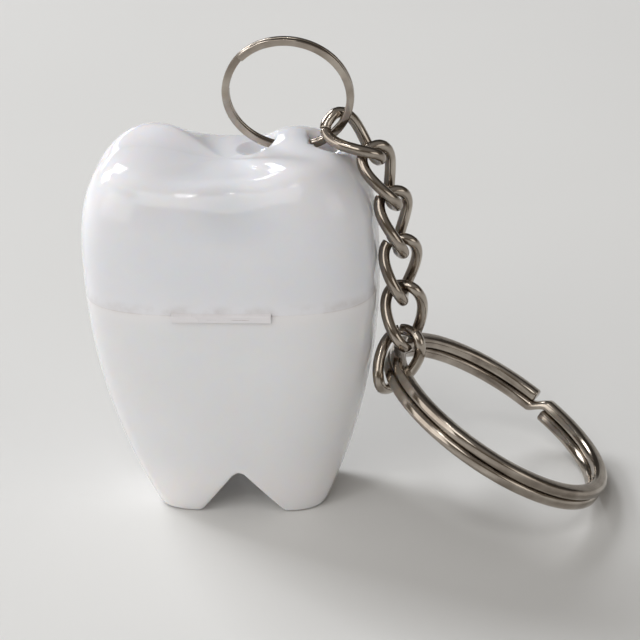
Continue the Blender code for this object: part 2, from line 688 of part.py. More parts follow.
def link_axes(direction, turn_deg):
    """Axes of a link: Z up its length, X across its upper bend."""
    up = -direction
    across = (Vector((1.0, 0.0, 0.0)) - up * up.x).normalized()
    spin = Matrix.Rotation(math.radians(turn_deg), 3, up)
    across = spin @ across
    return Matrix((across, up.cross(across), up)).transposed().to_4x4()


def hung_points(ring_axes):
    """Where each link's upper bend hangs, the first on the small ring, and the last link's lower bend."""
    radius = small_ring_radius()
    turn = math.acos(min(CHAIN_REACH / radius, 1.0))
    held = ring_axes @ Vector((radius * math.cos(turn), radius - radius * math.sin(turn), 0.0))
    hang = SMALL_RING_SEAT
    before = link_direction(0)
    tops = []
    for number in range(len(LINK_LEAN_DEG)):
        direction = link_direction(number)
        tops.append(held - (before + direction).normalized() * hang)
        held = tops[-1] + direction * (LINK_LENGTH - LINK_WIRE)
        hang = LINK_WIRE + LINK_GAP
        before = direction
    return tops, held


def make_chain(small_ring, metal):
    """Each link turns at the middle of its upper bend, and all six share one mesh."""
    tops, last_bend = hung_points(WORLD[small_ring.name])
    shape = None
    parent = small_ring
    for number, top in enumerate(tops):
        direction = link_direction(number)
        world = Matrix.Translation(top) @ link_axes(direction, LINK_TURN_DEG[number])
        joint = place(bpy.data.objects.new(f"link_{number + 1}_pivot", None), world, parent)
        name = f"chain_link_{number + 1}"
        if shape is None:
            link = wire(name, link_points(), LINK_WIRE / 2, metal, world, joint)
            shape = link.data
        else:
            link = place(bpy.data.objects.new(name, shape), world, joint)
        report_joint(name, world.translation, world.to_3x3() @ Vector((1.0, 0.0, 0.0)))
        parent = joint
    return parent, last_bend - direction * LARGE_RING_SEAT


def large_ring_tilt(held):
    """How far the ring leans from level, so that its far side rests on the floor."""
    lever = LARGE_RING_DIAMETER - LARGE_WIRE_WIDTH / 2
    half_height = (LARGE_COIL_PITCH + LARGE_WIRE_THICKNESS) / 2
    drop = (held.z - FLOOR_GAP) / math.hypot(lever, half_height)
    return math.asin(drop) - math.atan2(half_height, lever)


def large_ring_axes(tilt):
    heading = math.radians(LARGE_RING_HEADING_DEG)
    return Matrix.Rotation(heading, 4, "Z") @ Matrix.Rotation(tilt, 4, "Y")


def make_large_ring(link, held, metal):
    """The key ring hangs in the last link, with its far side on the floor. Its origin is in the link."""
    world = Matrix.Translation(held) @ large_ring_axes(large_ring_tilt(held))
    radius = (LARGE_RING_DIAMETER - LARGE_WIRE_WIDTH) / 2
    ring = split_ring(radius, LARGE_WIRE_WIDTH, LARGE_WIRE_THICKNESS, -LARGE_COIL_PITCH,
                      LARGE_RING_START_DEG, LARGE_RING_JOG_DEG, LARGE_RING_STEPS, Vector((radius, 0.0, 0.0)))
    report_joint("large_ring", held, world.to_3x3() @ Vector((0.0, 1.0, 0.0)))
    return solid("large_ring", ring, metal, world, link)


def report_joint(name, point, axis):
    print("joint", name, [round(value, 6) for value in point], [round(value, 6) for value in axis])


def middle_of_part():
    """Middle of the box round the part, in the case's own axes, where the case stands about X and Y zero."""
    last_bend = hung_points(small_ring_axes())[1]
    held = last_bend - link_direction(len(LINK_LEAN_DEG) - 1) * LARGE_RING_SEAT
    axes = large_ring_axes(large_ring_tilt(held)).to_3x3()
    normal = axes @ Vector((0.0, 0.0, 1.0))
    centre = held + axes @ Vector(((LARGE_RING_DIAMETER - LARGE_WIRE_WIDTH) / 2, 0.0, 0.0))
    half_height = (LARGE_COIL_PITCH + LARGE_WIRE_THICKNESS) / 2
    right = centre.x + LARGE_RING_DIAMETER / 2 * math.sqrt(1 - normal.x ** 2) + half_height * abs(normal.x)
    return Vector(((right - CASE_WIDTH / 2) / 2, centre.y, 0.0))


def main():
    clear_scene()
    white = finish("white_plastic", (0.86, 0.87, 0.90), 0.12)
    warm_white = finish("warm_white_plastic", (0.86, 0.85, 0.85), 0.14)
    inner_white = finish("insert_plastic", (0.85, 0.85, 0.84), 0.35)
    spool_white = finish("spool_plastic", (0.80, 0.82, 0.84), 0.4)
    floss = finish("waxed_floss", (0.88, 0.90, 0.88), 0.6)
    steel = finish("cutter_steel", (0.70, 0.70, 0.70), 0.3, 1.0)
    nickel = finish("nickel_plate", (0.62, 0.60, 0.57), 0.2, 1.0)

    case = place(bpy.data.objects.new("case_origin", None), Matrix.Translation(-middle_of_part()))
    make_lower_case(case, warm_white)
    make_insert(case, inner_white)
    make_axle(case, steel)
    make_spool(case, spool_white, floss)
    make_cutter(case, steel)
    make_floss_lead(case, floss)

    hinge = pivot("lid_pivot", hinge_axis(), case)
    lid = make_lid(case, hinge, white)
    report_joint("lid", WORLD[hinge.name].translation, Vector((1.0, 0.0, 0.0)))
    report_joint("floss_spool", WORLD["spool_pivot"].translation, Vector((0.0, 1.0, 0.0)))
    small_ring = make_small_ring(lid, nickel)
    report_joint("small_ring", WORLD[small_ring.name].translation, Vector((1.0, 0.0, 0.0)))
    last_link, held = make_chain(small_ring, nickel)
    make_large_ring(last_link, held, nickel)


main()
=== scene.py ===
# %% [markdown]
# # A tooth-shaped floss case on a keychain
#
# The real object is a glossy white plastic case in the shape of a molar. Its lid opens on a hinge at the
# back, and a spool of dental floss stands inside. A thin split ring goes through the crown of the tooth,
# and six twisted links join it to a large split ring for keys.
#
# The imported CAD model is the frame: each piece is drawn in its axes and rides on one of its bodies. The
# CAD pieces have few faces, and gloss shows every edge between them. So the pieces that the eye rests on
# are drawn again from the same sizes, with finer curves and rounded edges.

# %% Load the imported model
import json
from math import acos, asin, atan2, copysign, cos, degrees, exp, hypot, pi, radians, sin, sqrt, tan

import bmesh
import bpy
from mathutils import Matrix, Vector

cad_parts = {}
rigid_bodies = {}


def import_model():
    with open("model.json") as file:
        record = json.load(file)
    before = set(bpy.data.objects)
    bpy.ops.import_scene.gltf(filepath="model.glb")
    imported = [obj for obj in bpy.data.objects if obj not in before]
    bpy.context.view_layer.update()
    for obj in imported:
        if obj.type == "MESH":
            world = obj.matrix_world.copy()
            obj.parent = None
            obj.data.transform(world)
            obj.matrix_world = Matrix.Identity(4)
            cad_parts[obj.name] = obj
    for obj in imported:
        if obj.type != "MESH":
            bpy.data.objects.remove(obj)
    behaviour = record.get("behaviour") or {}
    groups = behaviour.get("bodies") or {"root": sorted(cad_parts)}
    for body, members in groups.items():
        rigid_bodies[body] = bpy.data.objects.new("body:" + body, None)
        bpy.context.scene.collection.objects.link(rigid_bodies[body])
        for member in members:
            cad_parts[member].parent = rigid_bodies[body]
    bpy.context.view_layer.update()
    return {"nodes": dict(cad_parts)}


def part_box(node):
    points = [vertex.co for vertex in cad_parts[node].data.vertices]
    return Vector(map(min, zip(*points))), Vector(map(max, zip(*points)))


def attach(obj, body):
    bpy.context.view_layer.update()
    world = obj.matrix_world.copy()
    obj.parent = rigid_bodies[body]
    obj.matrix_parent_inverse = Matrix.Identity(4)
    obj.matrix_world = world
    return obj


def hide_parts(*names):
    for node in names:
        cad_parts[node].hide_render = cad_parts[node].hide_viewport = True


for thing in list(bpy.data.objects):
    bpy.data.objects.remove(thing, do_unlink=True)

MM = 0.001
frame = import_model()

# %% [markdown]
# ## Where the tooth stands
#
# The sizes are easiest to write about the middle of the tooth. The spool's axle stands there, and its
# box gives the place.

# %% The middle of the tooth
axle_low, axle_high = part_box("spool_axle")
TOOTH = (axle_low + axle_high) / 2
TOOTH.z = 0.0
print("middle of the tooth:", [round(value / MM, 2) for value in TOOTH], "mm")

# %% [markdown]
# ## The camera
#
# The photograph was taken from a little above, with a long lens, and not quite level. A lens of 165 mm
# from a third of a metre away gives the same flat perspective. Aiming right of the tooth frames the ring
# as well, so the picture needs no lens shift.

# %% Aim the camera
AIM = TOOTH + Vector((9.88 * MM, 0.0, 22.23 * MM))
AZIMUTH_DEG, ELEVATION_DEG, ROLL_DEG = 7.605, 25.114, -2.891
CAMERA_DISTANCE = 340.2 * MM
LENS_MM = 164.56
NEAR, FAR = 20 * MM, 20.0


def compass(azimuth_deg, elevation_deg):
    """A direction out from the tooth: azimuth 0 is in front and 90 at the right."""
    azimuth, elevation = radians(azimuth_deg), radians(elevation_deg)
    return Vector((sin(azimuth) * cos(elevation), -cos(azimuth) * cos(elevation),
                   sin(elevation)))


def put_in_scene(name, data):
    """A new object with its data, in the scene."""
    thing = bpy.data.objects.new(name, data)
    bpy.context.scene.collection.objects.link(thing)
    return thing


back = compass(AZIMUTH_DEG, ELEVATION_DEG)
level = compass(AZIMUTH_DEG + 90.0, 0.0)
roll = radians(ROLL_DEG)
right = level * cos(roll) + back.cross(level) * sin(roll)
lens = bpy.data.cameras.new("camera")
lens.lens, lens.clip_start, lens.clip_end = LENS_MM, NEAR, FAR
camera = put_in_scene("camera", lens)
camera.matrix_world = Matrix.Translation(AIM + back * CAMERA_DISTANCE) @ Matrix(
    (right, back.cross(right), back)).transposed().to_4x4()
bpy.context.scene.camera = camera
print("camera at", [round(value / MM, 1) for value in camera.location], "mm")

# %% [markdown]
# ## A small kit for materials
#
# Each finish is a Principled shader with a few nodes in front of it, and those nodes are made by short
# calls: one adds a node to the tree of what feeds it, one feeds a socket of the shader, and one adds
# noise that is stretched or squeezed along the axes of the piece.

# %% Helpers for materials


def new_finish(name, colour, roughness, **sockets):
    """A material whose Principled shader holds what is the same all over."""
    material = bpy.data.materials.new(name)
    material.use_nodes = True
    material.diffuse_color = (*colour, 1.0)
    shader = material.node_tree.nodes["Principled BSDF"]
    shader.inputs["Base Color"].default_value = (*colour, 1.0)
    shader.inputs["Roughness"].default_value = roughness
    for socket, value in sockets.items():
        shader.inputs[socket.replace("_", " ")].default_value = value
    return material


def add_node(tree, kind, links=None, **settings):
    """A shader node with its settings, and its inputs linked or set by name or number."""
    node = tree.nodes.new("ShaderNode" + kind)
    for setting, value in settings.items():
        setattr(node, setting, value)
    for socket, source in (links or {}).items():
        if isinstance(source, bpy.types.NodeSocket):
            tree.links.new(source, node.inputs[socket])
        else:
            node.inputs[socket].default_value = source
    return node


def feed(socket, source):
    """Let a socket of the Principled shader follow what a node gives."""
    tree = source.id_data
    tree.links.new(source, tree.nodes["Principled BSDF"].inputs[socket])


def worked_out(operation, *values, **settings):
    """The result of a Math node."""
    settings["operation"] = operation
    return add_node(values[0].id_data, "Math", dict(enumerate(values)), **settings).outputs[0]


def noise_over(place, scale, stretch=(1.0, 1.0, 1.0), detail=3.0):
    """Noise of a scale, in features per metre, over a place such as object coordinates."""
    stretched = add_node(place.id_data, "Mapping", {"Vector": place, "Scale": stretch})
    sizes = {"Vector": stretched.outputs["Vector"], "Scale": scale, "Detail": detail}
    return add_node(place.id_data, "TexNoise", sizes).outputs["Fac"]


def spread(noise, low, high):
    """Bring noise, which stays near the middle, to a range of values."""
    limits = {"Value": noise, "From Min": 0.3, "From Max": 0.7, "To Min": low, "To Max": high}
    return add_node(noise.id_data, "MapRange", limits).outputs["Result"]


def ramp(value, start, end, top=1.0):
    """From 0 to a top, with soft ends, while a value goes from start to end."""
    limits = {"Value": value, "From Min": start, "From Max": end, "To Max": top}
    soft = add_node(value.id_data, "MapRange", limits, interpolation_type="SMOOTHSTEP")
    return soft.outputs["Result"]


def tinted(factor, low, high):
    """A colour between two, by a factor. The low one may be what another node gives."""
    low = low if isinstance(low, bpy.types.NodeSocket) else (*low, 1.0)
    colours = {0: factor, 6: low, 7: (*high, 1.0)}
    return add_node(factor.id_data, "Mix", colours, data_type="RGBA").outputs[2]


def clouded(noise, low, high):
    """Let the base colour wander between two, as noise does."""
    feed("Base Color", tinted(spread(noise, 0.0, 1.0), low, high))


def bumped(height, depth, strength=1.0):
    """Make a height show as relief of a depth in metres."""
    relief = {"Height": height, "Distance": depth, "Strength": strength}
    feed("Normal", add_node(height.id_data, "Bump", relief).outputs["Normal"])


def on_piece(material):
    """Coordinates in metres that stay with a piece when it moves."""
    return add_node(material.node_tree, "TexCoord").outputs["Object"]


def along_wire(material):
    """Coordinates of a wire as if it were straight: length along it first, then across."""
    return add_node(material.node_tree, "Attribute", attribute_name="unrolled").outputs["Vector"]


# %% [markdown]
# ## Glossy white plastic
#
# The case is moulded in a hard white plastic, and its mould was polished. Up close it is never one flat
# white: the gloss waves where the wall cooled unevenly, handling leaves duller smudges, and skin dirt
# gathers in the seam. A wider, softer darker band just above the seam and on the top of the thumb tab is
# painted shade. All of these are noise of different sizes, driven by the position on the piece. A picture
# texture could do it too, but it would need the surface to be unwrapped.
#
# Light also goes a millimetre or two into white plastic, which softens its shading. That is subsurface
# scattering. It fades out at the seam, where light would leak out of the rims and leave a dark line.

# %% The plastic of the lid and the base
PARTING_HEIGHT = 27.4 * MM
TRANSLUCENCY = 0.9
RIM_FADE = 2.5 * MM
SMUDGE_ROUGHNESS = 0.05


def off_height(place, height):
    """How far up or down a point is from a height."""
    level = add_node(place.id_data, "SeparateXYZ", {"Vector": place}).outputs["Z"]
    return worked_out("ABSOLUTE", worked_out("SUBTRACT", level, height))


def dirt_and_shade_band(place, height, reach, low, high, stretch=(1.0, 1.0, 1.0)):
    """Darkening by dirt and by painted shade: most at a height, none at a reach from it, and in patches.
    """
    near = ramp(off_height(place, height), reach, 0.0)
    patches = spread(noise_over(place, 420.0, stretch, detail=5.0), low, high)
    return worked_out("MULTIPLY", near, patches, use_clamp=True)


def moulded_plastic(name, colour, shade, roughness, depth, lines):
    """Polished plastic between a colour and a shade, with smudges, some lines of dirt and bands of
    painted shade.
    """
    material = new_finish(name, colour, roughness, Subsurface_Weight=TRANSLUCENCY, IOR=1.49,
                          Subsurface_Scale=depth, Subsurface_Radius=(1.0, 0.82, 0.66))
    place = on_piece(material)
    from_seam = off_height(place, PARTING_HEIGHT)
    feed("Subsurface Weight", ramp(from_seam, 0.0, RIM_FADE, TRANSLUCENCY))
    clouds = spread(noise_over(place, 90.0), 0.0, 1.0)
    plastic = tinted(clouds, shade, colour)
    # Thin lines are dirt in the seam; the wide soft bands are painted shade above the seam and on the
    # tab.
    for dirt_and_shade_colour, *line in lines:
        plastic = tinted(dirt_and_shade_band(place, *line), plastic, dirt_and_shade_colour)
    feed("Base Color", plastic)

    smudges = spread(noise_over(place, 160.0, detail=6.0), -0.3, 1.0)
    dull = worked_out("MULTIPLY_ADD", smudges, SMUDGE_ROUGHNESS, roughness)
    feed("Roughness", dull)
    bumped(noise_over(place, 260.0, detail=2.0), 0.03 * MM, 0.5)
    return material


# Lines of dirt and bands of painted shade: colour, height, reach, the cleanest and dirtiest patch, and
# how the patches stretch.
DIRT_AND_SHADE = (0.42, 0.35, 0.30)
GRIME = (0.22, 0.12, 0.10)
SEAM_DIRT_AND_SHADE = [(DIRT_AND_SHADE, PARTING_HEIGHT, 0.12 * MM, -0.05, 0.27),
             # the wide band: painted shade just above the seam
             (DIRT_AND_SHADE, PARTING_HEIGHT + 0.5 * MM, 1.1 * MM, -0.12, 0.25)]
TAB_DIRT_AND_SHADE = [(GRIME, PARTING_HEIGHT - 0.32 * MM, 0.08 * MM, -1.5, 1.2, (0.7, 1.0, 1.0)),
            # the wide band: painted shade on the top of the tab
            (DIRT_AND_SHADE, PARTING_HEIGHT + 0.9 * MM, 1.2 * MM, -0.1, 0.36)]
white_plastic = moulded_plastic("white_plastic", (0.86, 0.86, 0.90), (0.83, 0.83, 0.865),
                                0.07, 2.0 * MM, SEAM_DIRT_AND_SHADE)
warm_plastic = moulded_plastic("warm_white_plastic", (0.87, 0.86, 0.875), (0.84, 0.83, 0.84),
                               0.09, 2.0 * MM, SEAM_DIRT_AND_SHADE)
# The tab is the lid's plastic drawn a little darker: painted shade that tones down the bright ledge.
tab_plastic = moulded_plastic("tab_plastic", (0.82, 0.805, 0.83), (0.79, 0.775, 0.80),
                              0.25, 0.4 * MM, TAB_DIRT_AND_SHADE)
print("made", white_plastic.name, warm_plastic.name, tab_plastic.name)

# %% [markdown]
# ## Nickel plate
#
# Rings and chain are steel wire with a thin coat of nickel: a warm grey metal, brighter than steel and
# duller than chrome. Wire is drawn through a die, which leaves fine lines along it. So the noise for
# roughness and relief is stretched along the wire. The wires carry straightened coordinates for this,
# because an axis of space would cut across every bend.

# %% The metal of the rings and the chain


def nickel_plate(name, colour, tarnish, roughness):
    """Plated wire with drawing lines along it and a trace of tarnish."""
    material = new_finish(name, colour, roughness, Metallic=1.0)
    place = along_wire(material)
    clouded(noise_over(place, 260.0, detail=4.0), tarnish, colour)
    lines = noise_over(place, 500.0, (0.12, 5.0, 5.0), detail=4.0)
    feed("Roughness", spread(lines, roughness * 0.7, roughness * 1.6))
    dents = noise_over(place, 700.0, (0.4, 1.0, 1.0), detail=2.0)
    bumped(dents, 0.05 * MM, 0.35)
    return material


nickel = nickel_plate("nickel_plate", (0.50, 0.45, 0.39), (0.25, 0.21, 0.175), 0.13)
print("made", nickel.name)

# %% [markdown]
# ## Helpers for meshes
#
# Nearly everything on this object is a row of rings: the case is stacked outlines, a wire is one section
# carried along a path. So one helper skins rings of points into a closed mesh, and others turn that into
# a piece that rides on its body and stands for its CAD node. Rounded edges are just a few more rings.

# %% Helpers for meshes


def circle(radius, count):
    """Points of a circle about the origin of a plane."""
    turns = [2 * pi * i / count for i in range(count)]
    return [(radius * cos(turn), radius * sin(turn)) for turn in turns]


def close_flat(bm, loop):
    """Close a ring with one flat face."""
    bm.faces.new(loop)


def close_fan(bm, loop):
    """Close a ring on its middle."""
    middle = bm.verts.new(sum((vertex.co for vertex in loop), Vector()) / len(loop))
    for i in range(len(loop)):
        bm.faces.new((loop[i], loop[(i + 1) % len(loop)], middle))


def close_fold(bm, loop):
    """Close a ring on itself, each point of its back half against the one in front of it."""
    count = len(loop)
    bm.faces.new((loop[0], loop[1], loop[-1]))
    for i in range(1, count // 2 - 1):
        bm.faces.new((loop[i], loop[i + 1], loop[count - i - 1], loop[count - i]))
    bm.faces.new((loop[count // 2 - 1], loop[count // 2], loop[count // 2 + 1]))


def skinned(rings, smooth_deg=180.0, ends=(close_fan, close_fan)):
    """A mesh over a row of rings, with its ends closed. Without ends the last ring joins the first."""
    bm = bmesh.new()
    loops = [[bm.verts.new(point) for point in ring] for ring in rings]
    if not ends:
        loops.append(loops[0])
    count = len(loops[0])
    for low, high in zip(loops, loops[1:]):
        for i in range(count):
            j = (i + 1) % count
            bm.faces.new((low[i], low[j], high[j], high[i]))
    for close, loop in zip(ends, (loops[0], loops[-1])):
        close(bm, loop)
    bmesh.ops.recalc_face_normals(bm, faces=bm.faces)
    mesh = bpy.data.meshes.new("skin")
    bm.to_mesh(mesh)
    bm.free()
    mesh.shade_smooth()
    if smooth_deg < 180.0:
        mesh.set_sharp_from_angle(angle=radians(smooth_deg))
    return mesh


def new_piece(name, mesh, material):
    """An object at the origin of the frame, with its place in its mesh."""
    mesh.name = name
    mesh.materials.append(material)
    return put_in_scene(name, mesh)


def hand_over(piece, body, slot, *nodes):
    """Let a piece ride on its body, and hide the CAD nodes it stands for. The slot is not used."""
    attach(piece, body)
    if nodes:
        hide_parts(*nodes)
    print(piece.name, "on", body, "-", len(piece.data.polygons), "faces")


# %% [markdown]
# Holes are cut with the exact Boolean and applied at once, so that no cutter is left in the scene. Only
# edges sharper than a set angle are left sharp after it, so the round surface keeps its shading.

# %% Cut a piece


def cut(piece, tool_mesh, smooth_deg=38.0):
    """Cut a mesh out of a piece, apply it, and delete the tool."""
    tool = put_in_scene("tool", tool_mesh)
    step = piece.modifiers.new("cut", "BOOLEAN")
    step.operation, step.object, step.solver = "DIFFERENCE", tool, "EXACT"
    depsgraph = bpy.context.evaluated_depsgraph_get()
    cut_mesh = bpy.data.meshes.new_from_object(piece.evaluated_get(depsgraph))
    piece.modifiers.remove(step)
    cut_mesh.name = piece.name
    piece.data = cut_mesh
    cut_mesh.shade_smooth()
    cut_mesh.set_sharp_from_angle(angle=radians(smooth_deg))
    bpy.data.objects.remove(tool)


def bar(radius, length, centre, steps=64):
    """A round bar along X, for cutting bores."""
    return skinned([[centre + Vector((end, y, z)) for y, z in circle(radius, steps)]
                    for end in (-length / 2, length / 2)])


# %% [markdown]
# ## The outline of the case
#
# Seen from above, the case is between an ellipse and a rectangle. A superellipse gives that with one
# number, its exponent: 2 is an ellipse, and more is squarer. Equal steps of its angle crowd the points
# into the corners, so the directions, which every ring of the case shares, are first spaced out evenly.

# %% Outline of the case
CASE_WIDTH = 34.0 * MM
CASE_DEPTH = 20.4 * MM
SQUARENESS = 3.2
FOOT_SQUARENESS = 4.0
COLUMNS = 288
FINE_STEPS = 20000


def outline(turn, squareness):
    """A point of the superellipse of half sizes 1."""
    c, s = cos(turn), sin(turn)
    power = 2 / squareness
    return copysign(abs(c) ** power, c), copysign(abs(s) ** power, s)


def even_turns(count):
    """Directions whose points are evenly spaced along the case's outline."""
    turns = [2 * pi * i / FINE_STEPS for i in range(FINE_STEPS + 1)]
    spots = [outline(turn, SQUARENESS) for turn in turns]
    walked = [0.0]
    for (x0, y0), (x1, y1) in zip(spots, spots[1:]):
        walked.append(walked[-1] + hypot((x1 - x0) * CASE_WIDTH, (y1 - y0) * CASE_DEPTH))
    chosen, at = [], 0
    for i in range(count):
        while walked[at] < walked[-1] * i / count:
            at += 1
        chosen.append(turns[at])
    return chosen


TURNS = even_turns(COLUMNS)
print(len(TURNS), "columns round the case")

# %% [markdown]
# ## Sizes from the feet to the belly
#
# The roots of the tooth flare upwards, quickly at first and hardly at all below the belly. One power
# curve does that for the width, the depth and the squareness together.

# %% Flare of the case
BELLY_HEIGHT = 31.0 * MM
FOOT_SPREAD = 19.8 * MM
FOOT_DEPTH = 12.5 * MM
FLARE = 2.1
WALL = 1.2 * MM


def flare(height):
    """How far the case has grown from the feet, 0, to the belly, 1."""
    return 1 - (1 - min(height / BELLY_HEIGHT, 1.0)) ** FLARE


def case_point(turn, height, inset=0.0):
    """A point of the case's side, about the middle of the tooth."""
    grown = flare(height)
    x, y = outline(turn, FOOT_SQUARENESS + (SQUARENESS - FOOT_SQUARENESS) * grown)
    half_width = (FOOT_SPREAD + (CASE_WIDTH - FOOT_SPREAD) * grown) / 2 - inset
    half_depth = (FOOT_DEPTH + (CASE_DEPTH - FOOT_DEPTH) * grown) / 2 - inset
    return Vector((half_width * x, half_depth * y, height))


def level_ring(height, inset=0.0):
    """A level ring of the case's side."""
    return [case_point(turn, height, inset) for turn in TURNS]


def eased(share):
    """From 0 to 1 with soft ends, and level beyond them."""
    share = min(max(share, 0.0), 1.0)
    return share * share * (3 - 2 * share)


print("the feet spread", FOOT_SPREAD / MM, "mm, the belly", CASE_WIDTH / MM, "mm")

# %% [markdown]
# ## The base and the arch between its roots
#
# The arch could be cut out of the base, but a cut leaves knife edges where the mould has rounded ones.
# Here the sole itself rises: each column of the side starts at the height that the arch has under it,
# with a small round, and the sole is drawn in from there towards the middle. The rim is rounded as well,
# and the inside runs down to a flat floor above the arch.

# %% The arch and the base
ARCH_WIDTH = 10.3 * MM
ARCH_HEIGHT = 5.8 * MM
ARCH_TIP_RADIUS = 0.95 * MM
ARCH_OFFSET = 0.4 * MM
ARCH_FOOT_ROUND = 0.35 * MM
ARCH_ROOF = 1.3 * MM
FOOT_ROUND = 0.5 * MM
RIM_ROUND = 0.012 * MM
SEAM = 0.006 * MM
SIDE_RINGS = 28
INSIDE_RINGS = 12
SOLE_SHARES = (0.1, 0.3, 0.5, 0.7, 0.85, 0.95)
LIFT_ROUNDS = 8


def arch_rise(x):
    """Height of the sole over the floor, at a distance to the right of the middle of the tooth."""
    tip = ARCH_HEIGHT - ARCH_TIP_RADIUS
    slope = atan2(tip, ARCH_WIDTH / 2)
    slope += asin(ARCH_TIP_RADIUS / hypot(ARCH_WIDTH / 2, tip))
    away = abs(x - ARCH_OFFSET)
    if away < ARCH_TIP_RADIUS * sin(slope):
        return tip + sqrt(ARCH_TIP_RADIUS ** 2 - away ** 2)
    flank = (ARCH_WIDTH / 2 - away) * tan(slope)
    return (flank + hypot(flank, ARCH_FOOT_ROUND)) / 2


def round_steps(count):
    """Steps of a quarter round, as (how far in, how far up) shares of its radius."""
    quarter = [pi / 2 * i / count for i in range(count + 1)]
    return [(1 - sin(turn), 1 - cos(turn)) for turn in quarter]


def rim_rings(edge, side):
    """Rings over a rim from outside to inside, with the wall above the edge (side 1) or below (-1)."""
    steps = [(RIM_ROUND * inward, upward) for inward, upward in reversed(round_steps(4))]
    steps += [(WALL - RIM_ROUND * inward, upward) for inward, upward in round_steps(3)]
    return [level_ring(edge + side * RIM_ROUND * upward, inset) for inset, upward in steps]


def base_rings():
    """Rings of the base: out along the sole, up the outside, over the rim and down the inside."""
    top, floor = PARTING_HEIGHT - SEAM / 2, ARCH_HEIGHT + ARCH_ROOF
    columns = []
    for turn in TURNS:
        lift = 0.0
        for _ in range(LIFT_ROUNDS):  # the side leans, so its place and its lift depend on each other
            lift = arch_rise(case_point(turn, lift).x)
        columns.append((turn, lift))
    rings = []
    for share in SOLE_SHARES:
        points = [case_point(turn, lift, FOOT_ROUND) for turn, lift in columns]
        rings.append([Vector((point.x, point.y * share, arch_rise(point.x))) for point in points])
    for inward, upward in round_steps(5):
        rings.append([case_point(turn, lift + FOOT_ROUND * upward, FOOT_ROUND * inward)
                      for turn, lift in columns])
    for i in range(1, SIDE_RINGS + 1):
        share = i / SIDE_RINGS
        rings.append([case_point(turn, (lift + FOOT_ROUND) * (1 - share) + (top - RIM_ROUND) * share)
                      for turn, lift in columns])
    rings += rim_rings(top, -1)
    rings += [level_ring(top - (top - floor) * i / INSIDE_RINGS, WALL)
              for i in range(1, INSIDE_RINGS + 1)]
    rings += [[Vector((point.x * share, point.y * share, floor)) for point in level_ring(floor, WALL)]
              for share in (0.9, 0.6, 0.3)]
    return [[TOOTH + point for point in ring] for ring in rings]


print("the arch rises", round(arch_rise(ARCH_OFFSET) / MM, 2), "mm")

# %% [markdown]
# The hinge at the back is moulded on the same two parts: two ears on the base hold two stubs on the lid.
# A knuckle is a side view pushed along the hinge, with a small bevel as from the mould. The wall opposite
# it is hollowed a little, so that it can turn.

# %% Hinge knuckles
KNUCKLE_RADIUS = 1.4 * MM
KNUCKLE_OFFSET = 1.1 * MM
KNUCKLE_GAP = 0.25 * MM
LID_KNUCKLE_LENGTH = 9.0 * MM
EAR_LENGTH = 2.6 * MM
EAR_PLACE = LID_KNUCKLE_LENGTH / 2 + KNUCKLE_GAP + EAR_LENGTH / 2
STUB_RADIUS = 0.7 * MM
STUB_REACH = 1.9 * MM
STUB_CLEARANCE = 0.1 * MM
KNUCKLE_ROUND = 0.15 * MM
KNUCKLE_STEPS = 24
HINGE = Vector((0.0, case_point(pi / 2, PARTING_HEIGHT).y + KNUCKLE_OFFSET, PARTING_HEIGHT))


def knuckle(side):
    """Side view of a knuckle and its web, above the parting line (side 1) or below it (-1)."""
    root = HINGE.y - KNUCKLE_OFFSET - WALL / 2
    edge = KNUCKLE_GAP / 2 * side
    view = [(root, edge), (root, KNUCKLE_RADIUS * side)]
    for i in range(KNUCKLE_STEPS + 1):
        turn = radians(90 - 270 * i / KNUCKLE_STEPS) * side
        view.append((HINGE.y + KNUCKLE_RADIUS * cos(turn), KNUCKLE_RADIUS * sin(turn)))
    view.append((HINGE.y - KNUCKLE_RADIUS, edge))
    return [(y, HINGE.z + z) for y, z in view]


def pushed(view, middle, length):
    """A mesh between two copies of a side view, of a length along the hinge about its middle."""
    return skinned([[TOOTH + Vector((x, y, z)) for y, z in view]
                    for x in (middle - length / 2, middle + length / 2)], ends=(close_flat, close_flat))


def soften(piece, width, segments=3, angle_deg=35.0):
    """Round the edges of a piece with a bevel modifier, and shade it smooth."""
    bevel = piece.modifiers.new("rounded_edges", "BEVEL")
    bevel.width, bevel.segments = width, segments
    bevel.limit_method, bevel.angle_limit = "ANGLE", radians(angle_deg)
    bevel.harden_normals = True
    piece.data.shade_smooth()


print("the hinge turns", round(HINGE.y / MM, 2), "mm behind the middle of the tooth")

# %% Make the base
base = new_piece("tooth_base", skinned(base_rings(), ends=(close_fold, close_fan)), warm_plastic)
cut(base, bar(KNUCKLE_RADIUS + KNUCKLE_GAP, LID_KNUCKLE_LENGTH + 2 * KNUCKLE_GAP, TOOTH + HINGE))
hand_over(base, "case", "warm_white_plastic", "lower_case")

for side, name in ((-1, "left_ear"), (1, "right_ear")):
    place = side * EAR_PLACE
    ear = new_piece(name, pushed(knuckle(-1), place, EAR_LENGTH), warm_plastic)
    middle = TOOTH + HINGE + Vector((place, 0, 0))
    cut(ear, bar(STUB_RADIUS + STUB_CLEARANCE, 3 * EAR_LENGTH, middle))
    soften(ear, KNUCKLE_ROUND)
    hand_over(ear, "case", "warm_white_plastic")

# %% [markdown]
# ## The crown
#
# The top of the lid is what makes the case a tooth: a rim of soft cusps round a shallow hollow. It is
# drawn as a height over the plan. Outside the rim a rounded shoulder runs down to the belly, and inside
# it the height eases down to the middle. The rim's own height is given in eight directions, with a
# smooth curve through them, which is easier to fit to a picture than a sculpted mesh.

# %% Heights of the crown
CREST_RISE = 13.2 * MM
CREST_HEIGHT = BELLY_HEIGHT + CREST_RISE
CREST_SHARE = 0.55
